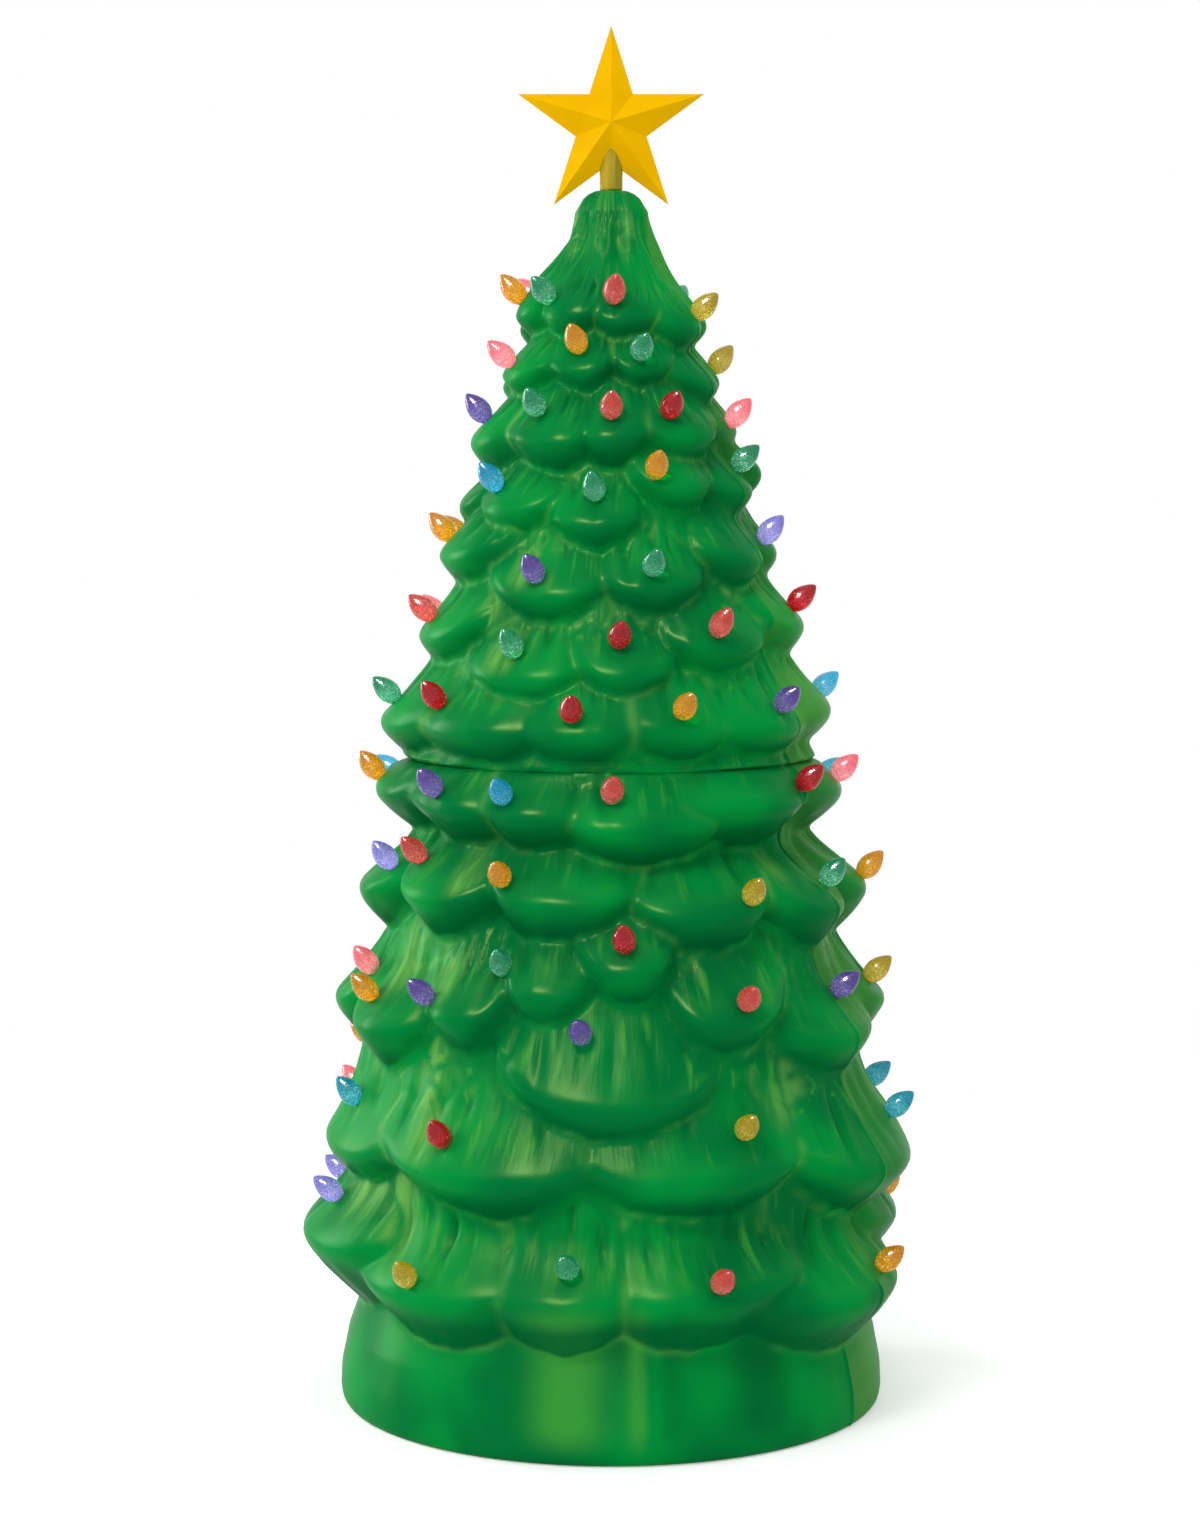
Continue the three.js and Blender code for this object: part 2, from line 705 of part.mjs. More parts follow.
const lampBottom = neckTop + postTop + seatGap;
const lamp = turned([
  [0, lampBottom - lampStemLength],
  [lampStem, lampBottom - lampStemLength],
  [lampStem, lampBottom],
  [lampRadius, lampBottom],
  [lampRadius, lampBottom + lampShoulder],
  [lampRadius / 2, lampBottom + (lampShoulder + 2 * lampLength) / 3],
  [0, lampBottom + lampLength],
], roundSides);
add('star_lamp', lamp, '#f4f0dc', 0.25);

// The star: two hollow faceted halves round a sleeve that slips over the post
const starCentre = neckTop + starRise;
const sleeveBottom = neckTop + seatGap;
const sleeve = turned([
  [postRadius + sleeveClearance, sleeveBottom],
  [sleeveRadius, sleeveBottom],
  [sleeveRadius, sleeveBottom + sleeveLength],
  [postRadius + sleeveClearance, sleeveBottom + sleeveLength],
  [postRadius + sleeveClearance, sleeveBottom],
], postSides);
add('star_sleeve', sleeve, '#a9a52c', 0.3);

// The star's ten corners; a wall's thickness moves each tip in by more than the corners between.
const starTipInset = 4;
function starOutline(inset) {
  const tipInset = inset * starTipInset;
  return Array.from({ length: 10 }, (_, i) => {
    const radius = i % 2 === 0 ? starRadius - tipInset : starRadius * starInnerRatio - inset;
    const a = Math.PI / 2 + Math.PI * i / 5;
    return [radius * Math.cos(a), radius * Math.sin(a)];
  });
}

// One half, split face at depth zero and the point of the facets at full depth
function starHalf() {
  const rings = [
    starOutline(0).map(([x, z]) => [x, z, starRim]),
    starOutline(0).map(([x, z]) => [x, z, 0]),
    starOutline(starWall).map(([x, z]) => [x, z, 0]),
    starOutline(starWall).map(([x, z]) => [x, z, starRim - starWall / 2]),
  ];
  const points = [[0, 0, starHalfDepth], ...rings.flat(), [0, 0, starHalfDepth - starWall]];
  const last = points.length - 1;
  const index = [];
  for (let i = 0; i < 10; i += 1) {
    const j = (i + 1) % 10;
    index.push(0, 1 + i, 1 + j);
    for (let r = 0; r < 3; r += 1) {
      const upper = 1 + 10 * r;
      const lower = upper + 10;
      index.push(upper + i, lower + i, lower + j, upper + i, lower + j, upper + j);
    }
    index.push(last, 31 + j, 31 + i);
  }
  const geometry = new THREE.BufferGeometry();
  geometry.setAttribute('position', new THREE.Float32BufferAttribute(points.flat(), 3));
  geometry.setIndex(index);
  return geometry;
}

const sleeveRoom = roundHole(
  sleeveRadius + seatGap,
  sleeveBottom - 1,
  sleeveBottom + sleeveLength + seatGap,
  postSides,
);
[['star_front', 1], ['star_back', -1]].forEach(([name, side]) => {
  const half = starHalf().rotateX(Math.PI / 2);
  if (side < 0) half.rotateZ(Math.PI);
  half.translate(0, -side * seatGap / 2, starCentre);
  add(name, cut(half, [sleeveRoom]), '#f5c400', 0.35);
});

// The two sections, with a hole for each bulb and the window and screw holes in the base
const floorHoles = screwSpots.map((spot) => (
  screwHole(floorRecess - 1, floorRecess + wall + 1).translate(spot.x, spot.y, 0)));
const lowerHoles = [...holes.get(lowerSkin), ...floorHoles, panelWindow];
add('lower_shell', cut(lowerSkin.geometry, lowerHoles), green, 0.45);
add('upper_shell', cut(upperSkin.geometry, holes.get(upperSkin)), green, 0.45);

export default group;
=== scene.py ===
import math

import bmesh
import bpy
import numpy as np
from mathutils import Matrix, Vector


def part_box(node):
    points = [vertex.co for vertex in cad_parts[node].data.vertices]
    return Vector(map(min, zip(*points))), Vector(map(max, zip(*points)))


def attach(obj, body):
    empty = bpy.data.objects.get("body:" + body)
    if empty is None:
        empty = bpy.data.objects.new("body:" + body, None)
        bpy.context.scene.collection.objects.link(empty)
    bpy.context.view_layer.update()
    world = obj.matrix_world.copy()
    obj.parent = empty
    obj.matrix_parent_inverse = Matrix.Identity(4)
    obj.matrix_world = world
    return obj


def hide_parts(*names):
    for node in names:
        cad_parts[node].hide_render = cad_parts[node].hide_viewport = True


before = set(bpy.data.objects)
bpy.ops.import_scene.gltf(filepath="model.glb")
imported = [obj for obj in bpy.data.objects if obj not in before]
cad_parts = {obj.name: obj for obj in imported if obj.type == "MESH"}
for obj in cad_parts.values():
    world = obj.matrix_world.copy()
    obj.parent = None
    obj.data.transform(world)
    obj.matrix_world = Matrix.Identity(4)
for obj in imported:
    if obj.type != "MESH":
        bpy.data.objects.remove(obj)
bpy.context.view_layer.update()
mm = 0.001


def colour(code):
    parts = [int(code[i:i + 2], 16) / 255 for i in (1, 3, 5)]
    return tuple(c / 12.92 if c <= 0.04045 else ((c + 0.055) / 1.055) ** 2.4 for c in parts) + (1.0,)


# Node helpers: a socket given as a value is linked, anything else is set as the default

def setInputs(tree, node, values):
    for key, value in values.items():
        if isinstance(value, bpy.types.NodeSocket):
            tree.links.new(value, node.inputs[key])
        else:
            node.inputs[key].default_value = value


def addNode(tree, kind, values=None, **properties):
    node = tree.nodes.new(kind)
    for key, value in properties.items():
        setattr(node, key, value)
    setInputs(tree, node, values or {})
    return node


def maths(tree, operation, a, b=0.0):
    return addNode(tree, "ShaderNodeMath", {0: a, 1: b}, operation=operation).outputs[0]


def times(tree, a, b):
    return maths(tree, "MULTIPLY", a, b)


def stretched(tree, place, scale):
    return addNode(tree, "ShaderNodeVectorMath", {0: place, 1: scale}, operation="MULTIPLY").outputs[0]


def joinXYZ(tree, x=0.0, y=0.0, z=0.0):
    return addNode(tree, "ShaderNodeCombineXYZ", {0: x, 1: y, 2: z}).outputs[0]


def blendColours(tree, share, a, b):
    return addNode(tree, "ShaderNodeMix", {0: share, 6: a, 7: b}, data_type="RGBA").outputs[2]


def span(tree, value, low, high, fromOut=0.0, toOut=1.0):
    node = addNode(tree, "ShaderNodeMapRange", {0: value, 1: low, 2: high, 3: fromOut, 4: toOut})
    node.interpolation_type = "SMOOTHSTEP"
    return node.outputs[0]


def noise(tree, place, scale, detail=2.0, roughness=0.5):
    return addNode(tree, "ShaderNodeTexNoise", {
        "Vector": place, "Scale": scale, "Detail": detail, "Roughness": roughness}).outputs["Fac"]


def attribute(tree, name, output="Fac"):
    return addNode(tree, "ShaderNodeAttribute", attribute_name=name).outputs[output]


def bump(tree, height, strength, distance, normal=None):
    values = {"Strength": strength, "Distance": distance, "Height": height}
    if normal is not None:
        values["Normal"] = normal
    return addNode(tree, "ShaderNodeBump", values).outputs["Normal"]


def startMaterial(name):
    material = bpy.data.materials.new(name)
    material.use_nodes = True
    tree = material.node_tree
    surface = tree.nodes["Principled BSDF"]
    place = addNode(tree, "ShaderNodeTexCoord").outputs["Object"]
    return material, tree, surface, place


plainLook = {"cloud": 0.15, "cloudScale": 40, "roughness": (0.35, 0.5), "metallic": 0.0, "grain": 0.12,
             "grainScale": 900}


def plainPlastic(name, code, **changes):
    # Moulded plastic: a little cloudiness in the colour, fine grain in the gloss
    look = {**plainLook, **changes}
    material, tree, surface, place = startMaterial(name)
    cloud = noise(tree, place, look["cloudScale"], 3.0)
    grain = noise(tree, place, look["grainScale"], 2.0)
    base = colour(code)[:3]
    dark = tuple(c * (1 - look["cloud"]) for c in base) + (1.0,)
    light = tuple(min(c * (1 + look["cloud"]), 1) for c in base) + (1.0,)
    setInputs(tree, surface, {
        "Base Color": blendColours(tree, span(tree, cloud, 0.35, 0.65), dark, light),
        "Roughness": span(tree, grain, 0.3, 0.7, *look["roughness"]),
        "Metallic": look["metallic"],
        "Normal": bump(tree, grain, look["grain"], 0.0004),
    })
    return material


# The moulded tree, in millimetres, from the tables of the part's source

treeShape = {
    "wall": 4.5, "seatGap": 0.3, "seamHeight": 551, "seamRadius": 152, "spigotHeight": 25, "spigotClearance": 1.5,
    "neckTop": 1031, "neckShoulder": 28, "domeWidth": 20, "domeHeight": 18, "postRadius": 7.5,
    "footRadius": 222, "footRingWidth": 52, "floorRecess": 10, "coverHole": 62,
    "lowerColumns": 400, "lowerRows": 212, "upperColumns": 360, "upperRows": 224,
    "partingAngles": (60, -120), "partingRidge": 0.9, "glareAndShadeTop": 150,
    # Shallow flutes round the foot and folds on the neck, and the heights where they come in and fade out
    "flute": 1.5, "fluteRise": (8, 70), "fluteFade": (150, 300),
    "bellFold": 2.8, "bellRise": (935, 965), "bellFade": (985, 1013),
    # The lip of the wall at the seam, and how fast the branches may stand out from it above and below
    "seamLip": 170, "seamSlope": 2.2, "seamSlopeBelow": 4.0, "seamRounding": 7,
    # The window of the control panel, where the wall is set back
    "panelHalf": 29, "panelHeight": 31, "panelRise": 11, "panelBack": 7,
}

# What all branches share; the pleats are drawn between the two numbers of each pair
branchShape = {
    "seed": 4, "repeated": 65, "widest": 40, "overlap": 0.28, "blend": 7.0, "riseShare": 1.2, "reachShare": 0.985,
    "roundness": 2.1, "fullReach": 180, "mostSize": 1.15, "power": (1.45, 2.4), "flank": (0.6, 1.5),
    "pleats": (5, 9), "pleatSpread": 0.78, "pleatJitter": 0.12, "pleatHeight": (36, 62), "pleatLength": (12, 26),
    "pleatWidth": (3.4, 6.2), "pleatDepth": (2.2, 7.0), "pleatLean": (0.1, 0.7),
    "ribTop": 9.5, "ribSink": 9, "ribBlend": 22, "ribFillet": 5.5, "ribEnd": 1012, "ribReach": (110, 170),
    "swell": 1.4, "gather": 0.8, "dropOver": 150,
    # A pad over the lip and a dip above it: depth, height and reach up the branch
    "pad": (2.6, 8, 10), "dip": (1.2, 34, 15),
}

# Radius under the branches: height, radius
coreTable = [
    (0, 229.5), (4, 232.5), (12, 233.6), (30, 232.8), (60, 227), (100, 213), (200, 212), (290, 206), (400, 182),
    (480, 155), (521, 157), (551, 159), (582, 157), (640, 140), (700, 122), (760, 106), (800, 89), (860, 73),
    (900, 57), (950, 43), (970, 36.5), (990, 31), (1007, 29), (1019, 28)]
coreHeights, coreRadii = np.array(coreTable, float).T

# Each tier: lean of the upper side and of the underside, roundness of the lip, how far the clefts climb
# and sink, depth of the folds and of the pad over the lip, then each branch's angle, tip height and reach
tierTable = [
    (1.05, 1.1, 9, 14, 20, 0.9, 1.0, [
        (-80, 146, 268), (-37, 126, 260), (-9, 128, 258), (14, 132, 257), (57, 112, 262), (97, 154, 250)]),
    (0.66, 1.45, 10, 34, 20, 0.9, 1.0, [
        (-80, 224, 247), (-24, 224, 252), (18, 226, 252), (68, 214, 264), (108, 228, 246)]),
    (0.55, 1.2, 10, 42, 15, 0.5, 1.0, [
        (-40, 300, 200), (0, 284, 245), (40, 300, 200)]),
    (0.95, 1.05, 9, 34, 20, 0.9, 1.0, [
        (-88, 342, 238), (-60, 331, 238), (-33, 350, 232), (-16, 372, 227), (5, 392, 226), (24, 350, 231),
        (60, 322, 238), (94, 338, 238)]),
    (1.3, 1.1, 9, 38, 18, 1.0, 1.0, [
        (-82, 438, 217), (-46, 443, 215), (-14, 444, 214), (25, 434, 216), (58, 430, 219), (90, 437, 221)]),
    (1.2, 1.45, 8, 13, 16, 0.8, 1.0, [
        (-82, 524, 203), (-43, 518, 201), (-22, 513, 201), (4, 504, 205), (40, 518, 200), (80, 522, 199)]),
    (1.05, 1.4, 8, 7, 17, 1.0, 0.9, [
        (-82, 580, 198), (-38, 580, 192), (-8, 580, 192), (17, 582, 190), (44, 581, 189), (82, 589, 189)]),
    (1.1, 1.1, 8, 30, 16, 1.0, 0.9, [
        (-70, 654, 167), (-23, 622, 175), (4, 625, 176), (33, 646, 169), (78, 661, 166)]),
    (1.15, 1.1, 7, 30, 15, 1.0, 0.9, [
        (-68, 721, 150), (-20, 690, 156), (16, 696, 155), (50, 716, 148), (88, 722, 142)]),
    (1.3, 1.15, 7, 28, 14, 1.0, 0.8, [
        (-88, 762, 130), (-42, 759, 134), (-5, 747, 138), (28, 777, 130), (64, 774, 129), (90, 790, 129)]),
    (1.15, 1.1, 7, 17, 13, 0.9, 0.7, [
        (-76, 816, 121), (-24, 815, 122), (1, 819, 120), (32, 820, 120), (78, 826, 108)]),
    (1.15, 1.2, 6, 18, 12, 0.9, 0.6, [
        (-62, 872, 97), (-13, 875, 95), (16, 877, 94), (60, 862, 99), (98, 868, 94)]),
    (0.98, 1.25, 6, 13, 11, 1.3, 0.4, [
        (-76, 925, 83), (-27, 921, 83), (5, 917, 84), (54, 911, 86), (92, 916, 82)]),
]

# Lighter and darker upright stripes on the base, painted reflections and shade: angle, width, strength
glareAndShadeTable = [(-9, 8.5, 0.9), (5.5, 2.4, 0.7), (-53, 4, 0.3), (55, 3, 0.5), (12.5, 3.5, -0.6), (33, 8, -1.0),
             (64, 9, -0.7), (-34, 9, -0.3)]

# Painted light on the flanks, mostly the left, as pale brushed marks where light falls from the side: angle, height,
# width, tallness, strength
flankLightTable = [(-50, 190, 5, 44, 1.0), (-66, 206, 9, 30, 0.9), (-42, 288, 5, 56, 1.0), (-58, 396, 7, 34, 0.8),
               (-42, 388, 5, 34, 0.8), (-37, 462, 4, 34, 0.9), (-34, 640, 5, 30, 1.0), (-43, 682, 5, 22, 0.8),
               (-31, 716, 5, 28, 0.9), (47, 470, 5, 20, 0.5), (38, 280, 5, 24, 0.5), (-20, 700, 4, 16, 0.5)]


def turnOf(angle):
    return (angle + 180) % 360 - 180


def halfTurnOf(angle):
    # For what the back repeats
    return (angle + 90) % 180 - 90


def aroundTree(rows, limit):
    back = [(turnOf(row[0] + 180),) + tuple(row[1:]) for row in rows if abs(row[0]) <= limit]
    return sorted([tuple(row) for row in rows] + back)


def coreRadius(height):
    return np.interp(height, coreHeights, coreRadii)


def buildLobes():
    look = branchShape
    random = np.random.default_rng(look["seed"])
    grow = 0.5 * (1 + look["overlap"])
    spread, jitter = look["pleatSpread"], look["pleatJitter"]
    lobes = []
    for slope, under, lip, rise, depth, folds, pad, branches in tierTable:
        ring = aroundTree(branches, look["repeated"])
        for k, (angle, tip, reach) in enumerate(ring):
            left = (angle - ring[k - 1][0]) % 360
            right = (ring[(k + 1) % len(ring)][0] - angle) % 360
            size = min(reach / look["fullReach"], look["mostSize"])
            pleats = [(s + random.uniform(-jitter, jitter), random.uniform(*look["pleatHeight"]) * size,
                       random.uniform(*look["pleatLength"]) * size, random.uniform(*look["pleatWidth"]) * size,
                       random.uniform(*look["pleatDepth"]) * folds * size, s * random.uniform(*look["pleatLean"]))
                      for s in np.linspace(-spread, spread, random.integers(*look["pleats"]))]
            lobes.append({
                "angle": angle, "tip": tip, "reach": reach * look["reachShare"], "slope": slope, "under": under,
                "lip": lip, "left": min(left * grow, look["widest"]), "right": min(right * grow, look["widest"]),
                "depth": depth, "rise": rise * look["riseShare"], "pad": pad, "pleats": pleats,
                "power": random.uniform(*look["power"]), "size": size, "phases": random.uniform(0, 2 * math.pi, 6),
                "number": len(lobes), "skew": random.uniform(-1, 1), "flank": random.uniform(*look["flank"]),
            })
    return lobes


def easeStep(value, low, high):
    share = np.clip((value - low) / (high - low), 0, 1)
    return share * share * (3 - 2 * share)


lobes = buildLobes()


def branchSurface(lobe, turn, half, side, z, core):
    # Radius of one branch, its place across, and the heights over its tip and over its lip
    look, size = branchShape, lobe["size"]
    wave, _, hump, _, _, comb = lobe["phases"]
    # The outline of the lip: clefts climb and sink to both sides, unevenly
    within = np.minimum(side, 1)
    middle = 1 - within ** 2
    over = np.maximum(side - 1, 0)
    arch = 0.6 * (1 - np.sqrt(1 - 0.98 * within ** 2)) + 0.4 * within ** 2
    wander = size * (2.8 * np.sin(turn / half * 2.6 + wave) * within + 3.0 * lobe["skew"] * turn / half)
    v = z - lobe["tip"] - wander
    below = v - lobe["rise"] * within ** lobe["power"] - 120 * over
    sink = lobe["depth"] * np.where(turn < 0, lobe["flank"], 2.1 - lobe["flank"])
    out = lobe["reach"] - sink * arch - look["dropOver"] * over
    # The rounded section over the lip, with a pad on it
    top, low = lobe["lip"] * look["roundness"], lobe["lip"] * 1.5
    fall = np.hypot(np.maximum(v, 0), top) - top
    fallBelow = np.hypot(np.minimum(below, 0), low) - low
    lean = lobe["slope"] * fall * (0.85 + 0.006 * np.minimum(fall, 60)) + lobe["under"] * fallBelow
    padDepth, padHeight, padReach = look["pad"]
    dipDepth, dipHeight, dipReach = look["dip"]
    pad = (padDepth * np.exp(-((v - padHeight) / padReach) ** 2) * np.exp(-(side / 0.55) ** 2)
           - dipDepth * np.exp(-((v - dipHeight) / dipReach) ** 2) * middle) * lobe["pad"]
    # The branch runs on up the core as a low rib, until the next tier covers it
    stand = np.clip((lobe["reach"] - core) / 20, 0, 1)
    rib = core + size * stand * (look["ribTop"] - look["ribSink"] * within ** 2) * easeStep(
        look["ribEnd"] - z, 0, 40) - look["dropOver"] * over
    reachUp = look["ribReach"][0 if lobe["tip"] > 260 else 1]
    rib = np.where(v > 4, rib - 30 * easeStep(v, reachUp, 1.5 * reachUp), 0)
    base = out - lean + pad * size
    mix = np.maximum(look["ribBlend"] - np.abs(base - rib), 0) / look["ribBlend"]
    surface = np.maximum(base, rib) + look["ribFillet"] * mix ** 2
    # Pleats run down from the crease above, gathered closer at the top
    q = turn * math.pi / 180 * lobe["reach"]
    halfWay = half * math.pi / 180 * lobe["reach"]
    sway = np.sin(v / 29 + wave)
    swell = look["swell"] * np.abs(np.cos(math.pi * (q + 5 * sway) / (44 * size) + hump)) ** 2
    folds = swell * size * easeStep(v, 12, 40)
    for share, height, length, width, deep, slant in lobe["pleats"]:
        off = q - share * halfWay * (1 - 0.25 * (v - height) / 60) - slant * (v - height)
        folds = folds + deep * np.exp(-(off / width) ** 2 - ((v - height) / length) ** 2)
    q = q + 4 * sway
    gather = easeStep(-below, 6, 22) * np.sin(q / (4.4 * size) + comb) * look["gather"] * size * middle
    gather = gather * easeStep(np.abs(z - treeShape["seamHeight"]), 8, 30)
    return surface - folds * easeStep(side, 1.05, 0.85) + gather, q / size, v, below


def treeField(angles, heights):
    # Radius of the outside at each angle (rows) and height (columns), and what the paint follows
    shape, blend = treeShape, branchShape["blend"]
    angles = np.broadcast_to(angles, np.broadcast_shapes(angles.shape, heights.shape)).astype(float)
    heights = np.broadcast_to(heights, angles.shape).astype(float)
    turns = np.radians(angles)
    flutes = np.cos(3 * (turns + 0.05)) + 0.3 * np.cos(5 * (turns + 0.05)) + 0.2 * np.sin(13 * turns)
    fadeLow, fadeHigh = shape["fluteFade"]
    offPanel = easeStep(np.abs(turnOf(angles - 180)), 10, 22)
    radius = coreRadius(heights) + shape["flute"] * flutes * easeStep(heights, *shape["fluteRise"]) * easeStep(
        fadeHigh - heights, 0, fadeHigh - fadeLow) * offPanel
    core = radius.copy()
    best = radius.copy()
    second = np.full(angles.shape, -1e3)
    across = turns * core
    above = 4 + 36 * easeStep(heights, 150, 190)
    number = np.full(angles.shape, -1.0)
    for lobe in lobes:
        turn = turnOf(angles - lobe["angle"])
        half = np.where(turn < 0, lobe["left"], lobe["right"])
        side = np.abs(turn) / half
        near = (side < 1.5) & (heights > lobe["tip"] - 70) & (heights < lobe["tip"] + 260)
        if not near.any():
            continue
        surface, along, v, below = branchSurface(
            lobe, turn[near], half[near], side[near], heights[near], core[near])
        # Smooth joining of one branch to the next
        now = best[near]
        wins = surface > now
        second[near] = np.where(wins, now, np.maximum(second[near], surface))
        overlap = np.maximum(blend - np.abs(surface - radius[near]), 0) / blend
        radius[near] = np.maximum(surface, radius[near]) + overlap ** 2 * blend / 4
        best[near] = np.maximum(surface, now)
        across[near] = np.where(wins, along, across[near])
        sure = np.clip((surface - now) / 6, 0, 1)
        facing = np.where(below < 0, np.minimum(v, below * 0.8 + 6), v)
        above[near] = np.where(wins, above[near] + (facing - above[near]) * sure, above[near])
        number[near] = np.where(wins, lobe["number"], number[near])
    # Folds on the neck, the smooth lip at the seam and the ridge where the mould parts
    bell = np.sin(8 * turns + heights / 24) + 0.6 * np.sin(13 * turns - heights / 33 + 1.0)
    bell = shape["bellFold"] * bell * easeStep(heights, *shape["bellRise"])
    radius = radius + bell * (1 - 0.7 * easeStep(heights, *shape["bellFade"]))
    fromSeam = heights - shape["seamHeight"]
    slope = np.where(fromSeam > 0, shape["seamSlope"], shape["seamSlopeBelow"])
    limit = shape["seamLip"] + slope * np.abs(fromSeam)
    near = np.maximum(shape["seamRounding"] - np.abs(radius - limit), 0) / shape["seamRounding"]
    radius = np.minimum(radius, limit) - shape["seamRounding"] / 4 * near ** 2
    ridge = np.zeros(angles.shape)
    for parting in shape["partingAngles"]:
        ridge = np.maximum(ridge, easeStep(np.abs(turnOf(angles - parting)), 0.55, 0.25))
    radius = radius + shape["partingRidge"] * ridge * easeStep(np.abs(fromSeam), 1, 4)
    # What only the paint follows
    crease = np.exp(-(np.maximum(best - second, 0) / (1.9 - 1.3 * easeStep(above, 20, 50))) ** 2)
    glareAndShadeBand, flankLight = np.zeros(angles.shape), np.zeros(angles.shape)
    for middle, width, strength in glareAndShadeTable:
        glareAndShadeBand = glareAndShadeBand + strength * np.exp(-(halfTurnOf(angles - middle) / width) ** 2)
    glareAndShadeBand = glareAndShadeBand * easeStep(shape["glareAndShadeTop"] - heights, 0, 40) * easeStep(heights, -4, 34)
    for middle, height, width, tall, strength in flankLightTable:
        off = halfTurnOf(angles - middle) + (heights - height) * 0.03
        flankLight = np.maximum(flankLight, strength * np.exp(-(off / width) ** 2 - ((heights - height) / tall) ** 2))
    return radius, across, above, number, crease, glareAndShadeBand, flankLight


bulbShape = {
    "dimple": 1.3, "dimpleRadius": 13, "length": 31, "radius": 9.9, "tilt": 45, "sunk": 2.5,
    "stemRadius": 4, "stemLength": 18, "sides": 16, "rings": 12, "repeated": 48, "turnWobble": 9, "tiltWobble": 6,
    # How far from its hole a bulb looks for a wall that faces its way, and what the way there costs
    "turnReach": 4, "heightReach": 12, "facingEnough": 0.85, "perMillimetre": 0.012,
}

# The bulbs of each string: angle, height of the hole, colour
bulbTable = [
    [(-75, 182, "lavender"), (-40, 140, "gold"), (-8, 158, "green"), (20, 146, "coral"), (65, 132, "amber"),
     (-103, 176, "lavender"), (104, 160, "amber")],
    [(-72, 265, "teal"), (-35, 254, "red"), (27, 264, "gold"), (78, 252, "teal"), (-106, 250, "pink")],
    [(-6, 342, "purple"), (-100, 300, "amber"), (100, 262, "teal")],
    [(-75, 374, "pink"), (-64, 358, "amber"), (-43, 362, "purple"), (-25, 394, "green"), (3, 414, "red"),
     (29, 366, "coral"), (63, 362, "purple"), (86, 362, "gold")],
    [(-71, 464, "lavender"), (-57, 474, "coral"), (-26, 464, "amber"), (33, 448, "gold"), (63, 453, "green"),
     (88, 450, "amber")],
    [(-84, 536, "amber"), (-47, 532, "purple"), (-27, 529, "blue"), (0, 531, "coral"), (58, 534, "red"),
     (-106, 530, "sky"), (82, 536, "pink"), (104, 528, "sky")],
    [(-82, 602, "green"), (-53, 602, "red"), (-10, 596, "red"), (18, 598, "amber"), (52, 600, "purple"),
     (100, 603, "sky")],
    [(-73, 672, "coral"), (-29, 645, "green"), (2, 654, "red"), (32, 662, "coral"), (80, 680, "red"),
     (-100, 664, "pink")],
    [(-84, 738, "amber"), (-24, 706, "purple"), (13, 712, "green"), (75, 736, "lavender"),
     (-104, 736, "amber")],
    [(-53, 780, "blue"), (-6, 772, "green"), (17, 790, "amber"), (70, 797, "green")],
    [(-82, 838, "purple"), (-36, 842, "green"), (0, 839, "coral"), (26, 840, "red"), (73, 834, "pink")],
    [(-67, 884, "pink"), (-18, 893, "amber"), (15, 888, "green"), (98, 880, "gold")],
    [(-84, 938, "amber"), (-45, 936, "green"), (1, 934, "coral"), (67, 924, "gold"), (-108, 938, "pink")],
]


def seatFor(angle, height):
    # The spot near a hole where the wall faces the way the bulb points, and the wall's radius there
    look = bulbShape
    turns = angle + np.linspace(-look["turnReach"], look["turnReach"], 9)
    heights = height + np.linspace(-look["heightReach"], look["heightReach"], 9)
    radius = treeField(turns[:, None], heights[None, :])[0]
    around, up = np.gradient(radius, np.radians(turns), heights)
    tilt = math.radians(look["tilt"])
    facing = (math.cos(tilt) - math.sin(tilt) * up) / np.sqrt(1 + up ** 2 + (around / radius) ** 2)
    moved = np.hypot(np.radians(turns - angle)[:, None] * radius, (heights - height)[None, :])
    worth = np.minimum(facing, look["facingEnough"]) - look["perMillimetre"] * moved
    k, i = np.unravel_index(np.argmax(worth), radius.shape)
    return turns[k], heights[i], float(radius[k, i])


bulbSeats = [[seatFor(angle, height) + (name,) for angle, height, name in aroundTree(
    rows, bulbShape["repeated"])] for rows in bulbTable]


def withDimples(radius, angles, heights):
    # The wall behind the panel is set back, hidden by its edges
    shape = treeShape
    across = radius * np.radians(np.abs(angles % 360 - 180))
    beside = easeStep(shape["panelHalf"] - across, 0, 4)
    radius = radius - shape["panelBack"] * beside * easeStep(
        shape["panelRise"] - np.abs(heights - shape["panelHeight"]), 0, 3)
    # A shallow seat in the wall round the foot of each bulb
    for string in bulbSeats:
        for angle, height, _, _ in string:
            away = np.hypot(np.radians(turnOf(angles - angle)) * radius, heights - height)
            radius = radius - bulbShape["dimple"] * np.exp(-(away / bulbShape["dimpleRadius"]) ** 4)
    return radius


def smoothLine(reach, middle):
    # Weights of a blur over the given number of points to each side
    kernel = np.exp(-(np.arange(-reach, reach + 1) / middle) ** 2)
    return kernel / kernel.sum()


